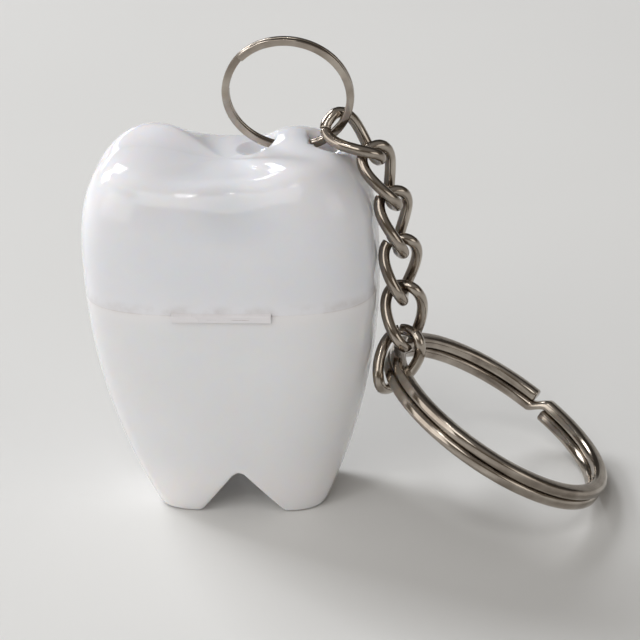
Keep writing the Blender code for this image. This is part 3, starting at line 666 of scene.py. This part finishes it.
# Of the rise, from the right round the back, the left and the front.
SWELL_SHARES = (-0.06, -0.02, -0.107, 0.054, -0.013, -0.075, -0.15, -0.04)
CREST_SWELLS = [share * CREST_RISE for share in SWELL_SHARES]
SHOULDER_SQUARENESS = 2.65
FOSSA_DEPTH = 1.7 * MM


def crest(turn):
    """Height of the rim in a direction, on a Catmull-Rom curve through the swells."""
    places = len(CREST_SWELLS)
    spot = turn / (2 * pi) * places
    t = spot % 1.0
    before, here, there, after = (CREST_SWELLS[(int(spot) + i) % places] for i in (-1, 0, 1, 2))
    bend = 2 * before - 5 * here + 4 * there - after + t * (3 * (here - there) + after - before)
    return CREST_HEIGHT + here + t / 2 * (there - before + t * bend)


def shoulder(share):
    """The curve of the shoulder: 1 up to the rim, and 0 at the belly."""
    out = max(share - CREST_SHARE, 0.0) / (1 - CREST_SHARE)
    return max(1 - out ** SHOULDER_SQUARENESS, 0.0) ** (1 / SHOULDER_SQUARENESS)


def crown(turn, share):
    """Height of the plain crown at a share of its half width in a direction."""
    top, floor = crest(turn), CREST_HEIGHT - FOSSA_DEPTH
    if share >= CREST_SHARE:
        return BELLY_HEIGHT + (top - BELLY_HEIGHT) * shoulder(share)
    return floor + (top - floor) * eased(share / CREST_SHARE)


print("the rim swells by", [round(swell / MM, 2) for swell in CREST_SWELLS], "mm")

# %% [markdown]
# The small ring passes under a ridge at the right of the crown. On each side of the ridge a scoop makes
# room for it. Ridge and scoops are soft in the moulding, so they are worked into the height as well, and
# a smooth minimum blends each scoop into the crown. Only the short tunnel has to be bored.

# %% The ridge, the scoops and the tunnel
TUNNEL_RADIUS = 0.95 * MM
RIDGE_SWELL = 1.1 * MM
RIDGE_WIDTH = 3.8 * MM
RIDGE_LENGTH = 7.0 * MM
SCOOP_LENGTH = 4.8 * MM
SCOOP_WIDTH = 4.6 * MM
# Each scoop: its side, how deep it goes below the tunnel's axis, and how wide its lip is blended.
SCOOPS = ((-1, 1.0 * MM, 1.0 * MM), (1, 1.2 * MM, 0.9 * MM))
TUNNEL_INSET = 9.6 * MM
TUNNEL_BACK = 2.4 * MM
TUNNEL_COVER = 1.55 * MM
TUNNEL = Vector((CASE_WIDTH / 2 - TUNNEL_INSET, TUNNEL_BACK, crest(0.0) + RIDGE_SWELL - TUNNEL_COVER))


def with_ridge(x, y, height):
    """The crown with the ridge on it and the scoops out of it."""
    across, along = (x - TUNNEL.x) / RIDGE_WIDTH, (y - TUNNEL.y) / (RIDGE_LENGTH / 2)
    height += RIDGE_SWELL * exp(-across * across - along * along)
    for side, depth, lip in SCOOPS:
        off_x = (x - TUNNEL.x - side * (RIDGE_WIDTH + SCOOP_LENGTH) / 2) / (SCOOP_LENGTH / 2)
        off_y = (y - TUNNEL.y) / (SCOOP_WIDTH / 2)
        away = off_x * off_x + off_y * off_y
        bottom = CREST_HEIGHT - TUNNEL.z + depth
        scoop = CREST_HEIGHT - bottom * sqrt(max(1 - away, 0.0)) + depth * max(away - 1, 0.0) * 4
        blend = max(lip - abs(height - scoop), 0.0) / lip
        height = min(height, scoop) - blend * blend * lip / 4
    return height


def shoulder_shares(count):
    """Shares of the half width from the belly to the rim, closer together where the curve is tight."""
    turns = [pi / 2 * i / count for i in range(1, count + 1)]
    return [CREST_SHARE + (1 - CREST_SHARE) * max(cos(turn), 0.0) ** (2 / SHOULDER_SQUARENESS)
            for turn in turns]


print("the tunnel is at", [round(value / MM, 2) for value in TUNNEL], "mm")

# %% [markdown]
# The whole lid is one skin: from the middle of the crown over the cusps, down the side, round the rim at
# the parting line, and up the inside to a flat ceiling.

# %% Rings of the lid
LID_ROOF = 3.2 * MM
CROWN_RINGS = 46
SHOULDER_RINGS = 36
SKIRT_RINGS = 6
INNER_SHOULDER_RINGS = 12
GROOVE_PLACE = 2.3 * MM
GROOVE_WIDTH = 4.2 * MM
GROOVE_DEPTH = 0.8 * MM
GROOVE_BOTTOM = BELLY_HEIGHT + 3.0 * MM
GROOVE_RISE = 7.0 * MM


def grooved(point):
    """Press a shallow upright groove, as between two roots of a molar, into the front."""
    if point.y < 0.0:
        across = (point.x - GROOVE_PLACE) / GROOVE_WIDTH
        ends = eased((point.z - GROOVE_BOTTOM) / GROOVE_RISE) * min(-point.y / (CASE_DEPTH / 4), 1.0)
        point.y += GROOVE_DEPTH * exp(-across * across) * ends
    return point


def plan(share, inset=0.0):
    """Each direction and its point of the plan, at a share of the half width."""
    for turn in TURNS:
        x, y = outline(turn, SQUARENESS)
        yield turn, (CASE_WIDTH / 2 - inset) * share * x, (CASE_DEPTH / 2 - inset) * share * y


def crown_ring(share):
    """A ring of the outside at a share of the half width."""
    return [grooved(Vector((x, y, with_ridge(x, y, crown(turn, share))))) for turn, x, y in plan(share)]


def inner_crown_ring(share):
    """A ring of the inside, whose ceiling is flat."""
    height = BELLY_HEIGHT + (CREST_HEIGHT - LID_ROOF - BELLY_HEIGHT) * shoulder(share)
    return [Vector((x, y, height)) for _, x, y in plan(share, WALL)]


def lid_rings():
    """Rings of the lid from the middle of the crown to the middle of the ceiling."""
    bottom = PARTING_HEIGHT + SEAM / 2
    rings = [crown_ring(CREST_SHARE * i / CROWN_RINGS) for i in range(1, CROWN_RINGS)]
    rings += [crown_ring(share) for share in reversed(shoulder_shares(SHOULDER_RINGS))]
    rings += [level_ring(BELLY_HEIGHT - (BELLY_HEIGHT - bottom - RIM_ROUND) * i / SKIRT_RINGS)
              for i in range(SKIRT_RINGS + 1)]
    rings += rim_rings(bottom, 1)
    rings.append(level_ring(BELLY_HEIGHT, WALL))
    shares = shoulder_shares(INNER_SHOULDER_RINGS) + [CREST_SHARE * i / 4 for i in (3, 2, 1)]
    rings += [inner_crown_ring(share) for share in shares]
    return [[TOOTH + point for point in ring] for ring in rings]


# %% Make the lid
BORE_LENGTH = RIDGE_WIDTH + 3.4 * MM
BORE_SHIFT = 0.7 * MM

lid = new_piece("tooth_lid", skinned(lid_rings()), white_plastic)
cut(lid, bar(TUNNEL_RADIUS, BORE_LENGTH, TOOTH + TUNNEL + Vector((BORE_SHIFT, 0, 0))))
for side in (-1, 1):
    place = TOOTH + HINGE + Vector((side * EAR_PLACE, 0, 0))
    cut(lid, bar(KNUCKLE_RADIUS + KNUCKLE_GAP, EAR_LENGTH + 2 * KNUCKLE_GAP, place))
hand_over(lid, "lid", "white_plastic", "lid")

# %% [markdown]
# ## The thumb tab and the lid's side of the hinge
#
# A thumb pushes the lid open at a thin ledge that stands out of the front wall and hangs a little over
# the base. It is its own piece, sunk into the wall of the lid, because a bevel is cleaner on a small
# block than on the edge of a Boolean.

# %% Thumb tab, knuckle and stubs
TAB_WIDTH = 11.5 * MM
TAB_HEIGHT = 1.1 * MM
TAB_REACH = 0.33 * MM
TAB_DROP = 0.75 * MM
TAB_ROUND = 0.3 * MM
TAB_SLOPE = 0.5 * MM
TAB_CLEARANCE = 0.12 * MM

wall_y = -case_point(pi / 2, PARTING_HEIGHT).y
inner_y, near_y, outer_y = wall_y + WALL / 2, wall_y - TAB_CLEARANCE, wall_y - TAB_REACH
tab_low = PARTING_HEIGHT - TAB_DROP
ledge = PARTING_HEIGHT + TAB_CLEARANCE
tab_view = [(inner_y, tab_low + TAB_HEIGHT + TAB_SLOPE), (inner_y, ledge), (near_y, ledge),
            (near_y, tab_low), (outer_y, tab_low), (outer_y, tab_low + TAB_HEIGHT * 0.7)]
tab_mesh = pushed(tab_view, 0.0, TAB_WIDTH)
knuckle_mesh = pushed(knuckle(1), 0.0, LID_KNUCKLE_LENGTH)
stub_mesh = bar(STUB_RADIUS, LID_KNUCKLE_LENGTH + 2 * STUB_REACH, TOOTH + HINGE, 32)
for name, mesh, material, rounding, segments in (
        ("thumb_tab", tab_mesh, tab_plastic, TAB_ROUND, 5),
        ("lid_knuckle", knuckle_mesh, white_plastic, KNUCKLE_ROUND, 3),
        ("hinge_stubs", stub_mesh, white_plastic, KNUCKLE_ROUND, 3)):
    piece = new_piece(name, mesh, material)
    soften(piece, rounding, segments)
    hand_over(piece, "lid", "white_plastic")

# %% [markdown]
# ## Wire
#
# The rings and the links are all a section carried along a path. The sweep also stores, for each point,
# how far along the wire it is and where it is in the section, which the nickel finish reads. Both ends
# are rounded over by a few shrinking sections, as cut wire is after tumbling.

# %% Sweep a section along a path


def rounded_end(station, section, end_round):
    """Shrinking sections past an end of a path. A negative round goes out from its first end."""
    point, across, over, along = station
    reach = max(hypot(a, b) for a, b in section)
    for turn in (pi / 6, pi / 3, pi / 2):
        size = 1 - (1 - cos(turn)) * abs(end_round) / reach
        yield point + along * end_round * sin(turn), across, over, size


def swept(path, section, end_round):
    """A closed mesh from (point, across, up, along) frames and a section of (across, up) points."""
    stations = list(rounded_end(path[0], section, -end_round))[::-1]
    stations += [(point, across, over, 1.0) for point, across, over, _ in path]
    stations += rounded_end(path[-1], section, end_round)
    rings, unrolled, walked = [], [], 0.0
    for number, (point, across, over, size) in enumerate(stations):
        if number:
            walked += (point - stations[number - 1][0]).length
        rings.append([point + across * (a * size) + over * (b * size) for a, b in section])
        unrolled += [(walked, a * size, b * size) for a, b in section]
    unrolled += [(0.0, 0.0, 0.0), (walked, 0.0, 0.0)]
    mesh = skinned(rings, 50.0)
    straight = mesh.attributes.new("unrolled", "FLOAT_VECTOR", "POINT")
    straight.data.foreach_set("vector", [value for spot in unrolled for value in spot])
    return mesh


def directions(points):
    """Which way a path runs at each of its points."""
    last = len(points) - 1
    return [(points[min(i + 1, last)] - points[max(i - 1, 0)]).normalized() for i in range(last + 1)]


def rounded_section(width, thickness, corner, steps=4):
    """A rectangle with round corners, as (across, up) points."""
    points = []
    for number, (side_x, side_y) in enumerate(((1, 1), (-1, 1), (-1, -1), (1, -1))):
        for i in range(steps + 1):
            turn = pi / 2 * (number + i / steps)
            points.append((side_x * (width / 2 - corner) + corner * cos(turn),
                           side_y * (thickness / 2 - corner) + corner * sin(turn)))
    return points


# %% [markdown]
# ## The small split ring
#
# It is a flat steel strip wound into two turns that lie on each other, with a short step from one to the
# next. The ring stands in the tunnel of the crown and leans forward a little.

# %% Place of the small ring
SMALL_RING_DIAMETER = 15.0 * MM
SMALL_WIRE_WIDTH = 0.86 * MM
SMALL_WIRE_THICKNESS = 0.42 * MM
SMALL_COIL_PITCH = 0.48 * MM
SMALL_RING_RADIUS = (SMALL_RING_DIAMETER - SMALL_WIRE_WIDTH) / 2
SMALL_RING_LEAN_DEG = 12.0
SMALL_RING_START_DEG, SMALL_RING_JOG_DEG = 175.0, 40.0
SMALL_WIRE_CORNER, SMALL_WIRE_END = 0.13 * MM, 0.1 * MM
RING_STEPS, JOG_STEPS = 120, 20
small_ring_axes = (Matrix.Translation(TUNNEL)
                   @ Matrix.Rotation(radians(90.0 + SMALL_RING_LEAN_DEG), 4, "X"))


def split_ring_path(axes, centre, radius, pitch, start_deg, jog_deg, steps=RING_STEPS):
    """Two turns of a wire about the local Z axis, stepping from one to the other over the jog."""
    turning = axes.to_3x3()
    over = (turning @ Vector((0, 0, 1))).normalized()
    one_turn = 360.0 - jog_deg
    runs = [one_turn * i / steps for i in range(steps)]
    runs += [one_turn + jog_deg * i / JOG_STEPS for i in range(JOG_STEPS)]
    runs += [360.0 + one_turn * i / steps for i in range(steps + 1)]
    path = []
    for run in runs:
        level = pitch * (eased((run - one_turn) / jog_deg) - 0.5)
        turn = radians(start_deg + run)
        away = Vector((cos(turn), sin(turn), 0.0))
        along = turning @ Vector((-sin(turn), cos(turn), 0.0))
        point = axes @ (centre + away * radius + Vector((0, 0, level)))
        path.append((TOOTH + point, turning @ away, over, along))
    return path


# %% Make the small ring
path = split_ring_path(small_ring_axes, Vector((0, SMALL_RING_RADIUS, 0)), SMALL_RING_RADIUS,
                       SMALL_COIL_PITCH, SMALL_RING_START_DEG, SMALL_RING_JOG_DEG)
section = rounded_section(SMALL_WIRE_WIDTH, SMALL_WIRE_THICKNESS, SMALL_WIRE_CORNER)
small_ring = new_piece("thin_split_ring", swept(path, section, SMALL_WIRE_END), nickel)
hand_over(small_ring, "small_ring", "nickel_plate", "small_ring")

# %% [markdown]
# ## The chain
#
# Each link is one piece of round wire bent to an oval, closed at a butt seam, and twisted by about a
# quarter turn, so that neighbours nest and the chain lies flat. All six share one shape, and what differs
# is how each one hangs, so the chain is a table of three angles for each link. The seam of the first
# shows at the top left, as a small nick.

# %% Sizes and hang of the links
LINK_WIRE = 1.3 * MM
LINK_LENGTH = 8.65 * MM
LINK_WIDTH = 5.65 * MM
LINK_OVAL = 2.65
LINK_TWIST_DEG = 93.0
LINK_GAP = 0.41 * MM
LINK_SEAM = 0.1 * MM
LINK_SEAM_DEG = -29.0
LINK_LEAN_DEG = (50.2, 20.3, 7.6, 1.7, 4.5, -24.8)
LINK_FRONT_DEG = (9.1, 4.8, 7.2, 6.0, 8.4, 20.2)
LINK_TURN_DEG = (25.6, 25.6, 22.0, 3.6, -16.8, -26.0)
CHAIN_REACH = 5.56 * MM
SMALL_RING_SEAT = 1.43 * MM


def link_direction(number):
    """Which way a link hangs, from its upper bend to its lower one."""
    lean, front = radians(LINK_LEAN_DEG[number]), radians(LINK_FRONT_DEG[number])
    return Vector((sin(lean), -cos(lean) * sin(front), -cos(lean) * cos(front)))


def link_axes(number):
    """Axes of a link: Z up its length, X across its upper bend."""
    above = -link_direction(number)
    across = (Vector((1, 0, 0)) - above * above.x).normalized()
    across = Matrix.Rotation(radians(LINK_TURN_DEG[number]), 3, above) @ across
    return Matrix((across, above.cross(across), above)).transposed().to_4x4()


def hung_places():
    """Where each link's upper bend hangs, and where the lower bend of the last one is."""
    turn = acos(min(CHAIN_REACH / SMALL_RING_RADIUS, 1.0))
    held = small_ring_axes @ Vector((SMALL_RING_RADIUS * cos(turn),
                                     SMALL_RING_RADIUS * (1 - sin(turn)), 0.0))
    hang, before, tops = SMALL_RING_SEAT, link_direction(0), []
    for number in range(len(LINK_LEAN_DEG)):
        direction = link_direction(number)
        tops.append(held - (before + direction).normalized() * hang)
        held = tops[-1] + direction * (LINK_LENGTH - LINK_WIRE)
        hang, before = LINK_WIRE + LINK_GAP, direction
    return tops, held


# %% Path of the wire in a link
LINK_STEPS = 150
END_ROUND = 0.14 * MM


def link_path():
    """Frames along one link in its own axes, from seam to seam."""
    half_long, half_wide = (LINK_LENGTH - LINK_WIRE) / 2, (LINK_WIDTH - LINK_WIRE) / 2
    gap = (LINK_SEAM / 2 + END_ROUND) / half_wide
    first, sweep = radians(LINK_SEAM_DEG) + gap, 2 * pi - 2 * gap
    points = []
    for i in range(LINK_STEPS + 1):
        x, y = outline(first + sweep * i / LINK_STEPS, LINK_OVAL)
        height, out = half_long * x, half_wide * y
        twist = radians(LINK_TWIST_DEG) * (1 - height / half_long) / 2
        points.append(Vector((out * cos(twist), out * sin(twist), height - half_long)))
    path, across = [], Vector((0, 1, 0))
    for point, along in zip(points, directions(points)):
        across = (across - along * across.dot(along)).normalized()
        path.append((point, across, along.cross(across), along))
    return path


# %% Make the links
link_tops, last_bend = hung_places()
section = circle(LINK_WIRE / 2, 24)
for number, top in enumerate(link_tops):
    axes = Matrix.Translation(TOOTH + top) @ link_axes(number)
    turning = axes.to_3x3()
    path = [(axes @ point, turning @ across, turning @ over, turning @ along)
            for point, across, over, along in link_path()]
    link = new_piece(f"curb_link_{number + 1}", swept(path, section, END_ROUND), nickel)
    hand_over(link, f"link_{number + 1}", "nickel_plate", f"chain_link_{number + 1}")

# %% [markdown]
# ## The large split ring
#
# The key ring is heavier wire, wound in the same way. One side hangs in the last link and the other
# rests on the floor, so its tilt follows from how high the last link holds it.

# %% Make the large ring
LARGE_RING_DIAMETER = 29.9 * MM
LARGE_WIRE_WIDTH = 1.8 * MM
LARGE_WIRE_THICKNESS = 1.36 * MM
LARGE_COIL_PITCH = 1.42 * MM
LARGE_RING_HEADING_DEG = 9.6
LARGE_RING_START_DEG, LARGE_RING_JOG_DEG = 60.5, 9.0
LARGE_RING_SEAT = 3.05 * MM
LARGE_WIRE_CORNER, LARGE_WIRE_END = 0.5 * MM, 0.25 * MM
FLOOR_GAP = 0.05 * MM

held = last_bend - link_direction(len(LINK_LEAN_DEG) - 1) * LARGE_RING_SEAT
lever = LARGE_RING_DIAMETER - LARGE_WIRE_WIDTH / 2
half_height = (LARGE_COIL_PITCH + LARGE_WIRE_THICKNESS) / 2
tilt = asin((held.z - FLOOR_GAP) / hypot(lever, half_height)) - atan2(half_height, lever)
print("large ring tilts by", round(degrees(tilt), 1), "degrees")
axes = Matrix.Translation(held) @ Matrix.Rotation(radians(LARGE_RING_HEADING_DEG), 4, "Z")
axes = axes @ Matrix.Rotation(tilt, 4, "Y")
radius = (LARGE_RING_DIAMETER - LARGE_WIRE_WIDTH) / 2
path = split_ring_path(axes, Vector((radius, 0, 0)), radius, -LARGE_COIL_PITCH,
                       LARGE_RING_START_DEG, LARGE_RING_JOG_DEG, 150)
section = rounded_section(LARGE_WIRE_WIDTH, LARGE_WIRE_THICKNESS, LARGE_WIRE_CORNER, 6)
large_ring = new_piece("key_ring", swept(path, section, LARGE_WIRE_END), nickel)
hand_over(large_ring, "large_ring", "nickel_plate", "large_ring")

# %% [markdown]
# ## Floss on its spool
#
# The CAD has a plain ring for the wound floss. What shows when the lid is open is turn beside turn of
# thin waxed thread. Here one thread really runs round in a screw over a smooth core, and its free end
# goes up through the outlet to the cutter as three twisted strands.

# %% Finish of the floss
WINDING_HALF = 4.75 * MM
WINDING_RADIUS = 7.0 * MM
THREAD_RADIUS = 0.25 * MM
waxed = new_finish("waxed_floss", (0.80, 0.83, 0.80), 0.5, Subsurface_Weight=0.2,
                   Subsurface_Scale=0.5 * MM, Sheen_Weight=0.2, Sheen_Roughness=0.4)
fibres = noise_over(along_wire(waxed), 900.0, (0.15, 6.0, 6.0), detail=4.0)
clouded(fibres, (0.70, 0.74, 0.71), (0.84, 0.87, 0.84))
bumped(fibres, 0.04 * MM)
print("made", waxed.name)

# %% Make the wound floss
TURNS_OF_THREAD, TURN_STEPS = 18, 44
DRAWN_THREAD_RADIUS = 0.26 * MM  # a little more, so that no gap shows between the turns
# Side view of the core in mm, as (radius, place along the axle).
CORE_VIEW = ((3.05, -4.75), (6.6, -4.75), (6.75, -4.4), (6.75, 4.4), (6.6, 4.75), (3.05, 4.75))

axle_middle = (axle_low + axle_high) / 2
path = []
for i in range(TURNS_OF_THREAD * TURN_STEPS + 1):
    share = i / (TURNS_OF_THREAD * TURN_STEPS)
    turn = 2 * pi * TURNS_OF_THREAD * share
    away = Vector((cos(turn), 0.0, sin(turn)))
    side = (WINDING_HALF - THREAD_RADIUS) * (2 * share - 1)
    point = axle_middle + away * (WINDING_RADIUS - THREAD_RADIUS) + Vector((0, side, 0))
    path.append((point, away, Vector((0, 1, 0)), Vector((-sin(turn), 0.0, cos(turn)))))
thread = new_piece("wound_floss", swept(path, circle(DRAWN_THREAD_RADIUS, 8), 0.1 * MM), waxed)
hand_over(thread, "spool", "waxed_floss", "floss_winding")

rings = [[axle_middle + Vector((r * c, y * MM, r * s)) for r, y in CORE_VIEW] for c, s in circle(MM, 96)]
hand_over(new_piece("floss_core", skinned(rings, 40.0, ends=()), waxed), "spool", "waxed_floss")

# %% Make the free end of the floss
DECK_TOP = PARTING_HEIGHT + 1.6 * MM
LEAD_OVER_DECK = 0.9 * MM
LEAD_STEPS, BEND_STEPS = 24, 11
STRANDS = 3
STRAND_TWIST = 0.7
STRAND_OFFSET = 0.12 * MM
STRAND_RADIUS = 0.125 * MM

lead_low, lead_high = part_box("floss_lead")
lead_x, lead_level = lead_high.x - THREAD_RADIUS, lead_high.z - THREAD_RADIUS
lead_bend = lead_level - DECK_TOP - LEAD_OVER_DECK
bend_x, bend_z = lead_x - lead_bend, lead_level - lead_bend
line = [Vector((lead_x, TOOTH.y, lead_low.z + (bend_z - lead_low.z) * i / LEAD_STEPS))
        for i in range(LEAD_STEPS)]
for i in range(BEND_STEPS + 1):
    turn = pi / 2 * i / BEND_STEPS
    line.append(Vector((bend_x + lead_bend * cos(turn), TOOTH.y, bend_z + lead_bend * sin(turn))))
line += [Vector((bend_x + (lead_low.x - bend_x) * i / LEAD_STEPS, TOOTH.y, lead_level))
         for i in range(1, LEAD_STEPS + 1)]
across = Vector((0, 1, 0))
for strand in range(STRANDS):
    path = []
    for i, (point, along) in enumerate(zip(line, directions(line))):
        over = along.cross(across)
        turn = STRAND_TWIST * i + 2 * pi * strand / STRANDS
        away = across * cos(turn) + over * sin(turn)
        path.append((point + away * STRAND_OFFSET, across, over, along))
    mesh = swept(path, circle(STRAND_RADIUS, 8), 0.04 * MM)
    piece = new_piece(f"floss_strand_{strand + 1}", mesh, waxed)
    hand_over(piece, "case", "waxed_floss", *(["floss_lead"] if strand == 0 else []))

# %% [markdown]
# ## Pieces that stay as the CAD has them
#
# The insert, the spool, the axle and the cutter have the right shape already, and sit inside the case.
# They only need their finishes: satin plastic with the faint flow of the moulding, a cooler one for the
# spool, a ground pin, and a stamped sheet whose rolling lines run along it.

# %% Finishes for the inside


def satin_plastic(name, colour, shade, roughness):
    """Unpolished plastic with a fine grain."""
    material = new_finish(name, colour, roughness, Subsurface_Weight=0.2, Subsurface_Scale=1.0 * MM)
    place = on_piece(material)
    clouded(noise_over(place, 120.0, (1.0, 1.0, 0.4)), shade, colour)
    grain = noise_over(place, 2500.0, detail=2.0)
    feed("Roughness", spread(grain, roughness - 0.06, roughness + 0.06))
    bumped(grain, 0.02 * MM, 0.4)
    return material


def bright_steel(name, colour, stretch, roughness):
    """Steel with fine parallel lines along one axis."""
    material = new_finish(name, colour, roughness, Metallic=1.0)
    place = on_piece(material)
    lines = noise_over(place, 1500.0, stretch, detail=4.0)
    feed("Roughness", spread(lines, roughness * 0.6, roughness * 1.5))
    clouded(noise_over(place, 300.0), [value * 0.85 for value in colour], colour)
    bumped(lines, 0.01 * MM, 0.5)
    return material


inner_finishes = {
    "floss_insert": satin_plastic("insert_plastic", (0.79, 0.79, 0.78), (0.75, 0.75, 0.73), 0.35),
    "floss_spool": satin_plastic("spool_plastic", (0.74, 0.77, 0.79), (0.68, 0.72, 0.75), 0.30),
    "spool_axle": bright_steel("ground_pin", (0.70, 0.70, 0.70), (3.0, 0.2, 3.0), 0.22),
    "floss_cutter": bright_steel("rolled_sheet", (0.70, 0.70, 0.70), (0.15, 3.0, 3.0), 0.28)}
for name, material in inner_finishes.items():
    node = frame["nodes"][name]
    node.data.materials.clear()
    node.data.materials.append(material)
    node.data.shade_smooth()
    node.data.set_sharp_from_angle(angle=radians(35))
    print(name, "gets", material.name)

# %% [markdown]
# ## Floor
#
# The photograph has a plain pale surface that runs out of focus behind the object. A wide sheet of paper
# gives that, and its edge curls up all round, so no horizon line shows from any side. It is a stage, not
# part of the object.

# %% Make the floor
FLOOR_REACH = 1600.0 * MM
CURL = 200.0 * MM
CURL_STEPS = 9
paper = new_finish("paper", (0.74, 0.74, 0.728), 0.85, Specular_IOR_Level=0.2)
grain = noise_over(on_piece(paper), 12.0, detail=2.0)
clouded(grain, (0.73, 0.73, 0.718), (0.75, 0.75, 0.738))
rings = []
for i in range(CURL_STEPS + 1):
    turn = pi / 2 * i / CURL_STEPS
    reach, lift = FLOOR_REACH + CURL * sin(turn), CURL * (1 - cos(turn))
    rings.append([(x, y, lift) for x, y in circle(reach, 96)])
paper_floor = new_piece("paper_floor", skinned(rings, ends=(close_flat,)), paper)
paper_floor.data.shade_flat()
print("paper", 2 * (FLOOR_REACH + CURL), "m across")

# %% [markdown]
# ## Light
#
# Soft light comes from windows at the left and behind, at two heights, so the left edge of the tooth is
# brightest and its shadow falls to the right and forward. A faint low one stands for a window far away,
# two broad lamps at the left and right front for pale walls, and one overhead for the ceiling. A pair of
# tubes makes the small sharp highlights on the cusps. All are weak enough to keep the white plastic from
# clipping, and the background is pale because the paper is.

# %% Lamps
DAYLIGHT = (0.97, 0.98, 1.0)
LAMPS_AIM = TOOTH + Vector((0, 0, 25 * MM))


def lamp(name, azimuth_deg, elevation_deg, distance, width, height, watts, colour=(1.0, 1.0, 1.0)):
    """A rectangular lamp that faces the tooth, with its distance and its sizes in mm."""
    light = bpy.data.lights.new(name, "AREA")
    light.shape, light.size, light.size_y = "RECTANGLE", width * MM, height * MM
    light.energy, light.color = watts, colour
    away = compass(azimuth_deg, elevation_deg)
    thing = put_in_scene(name, light)
    thing.location = LAMPS_AIM + away * distance * MM
    thing.rotation_mode = "QUATERNION"
    thing.rotation_quaternion = (-away).to_track_quat("-Z", "Y")


lamp("window_low", -120, 30, 1500, 420, 420, 11.0, DAYLIGHT)
lamp("window_high", -135, 45, 1500, 420, 420, 6.5, DAYLIGHT)
lamp("far_window", -150, 9, 1500, 420, 200, 0.6, DAYLIGHT)
lamp("left_front", -56, 19, 1500, 1200, 850, 5.6, (1.0, 0.995, 0.985))
lamp("right_front", 62, 16, 1500, 900, 600, 2.0, (1.0, 0.985, 0.96))
lamp("ceiling", -12, 44, 1500, 900, 800, 4.5, (1.0, 0.99, 0.975))
lamp("tube_1", -8, 60, 560, 60, 10, 0.08)
lamp("tube_2", -8, 64, 560, 60, 10, 0.08)

# %% [markdown]
# The world fills in as a room would: lighter towards the ceiling, dim and brownish at the height of the
# camera, and darkest behind. The nickel mirrors it, and its dark side is what makes it read as metal.

# %% The world
ROOM = (0.17, 0.143, 0.112)
CEILING = (0.30, 0.29, 0.28)
BEHIND = (0.07, 0.065, 0.06)
CEILING_BAND = (0.38, 0.72)
BEHIND_BAND = (-0.1, 0.6)

world = bpy.data.worlds.new("room")
bpy.context.scene.world = world
world.use_nodes = True
tree = world.node_tree
looked = add_node(tree, "TexCoord").outputs["Generated"]
axis = add_node(tree, "SeparateXYZ", {"Vector": looked}).outputs
walls = tinted(ramp(axis["Z"], *CEILING_BAND), ROOM, CEILING)
room = tinted(ramp(axis["Y"], *BEHIND_BAND), walls, BEHIND)
tree.links.new(room, tree.nodes["Background"].inputs["Color"])
bpy.context.scene.view_settings.view_transform = "Standard"
print("world:", world.name)
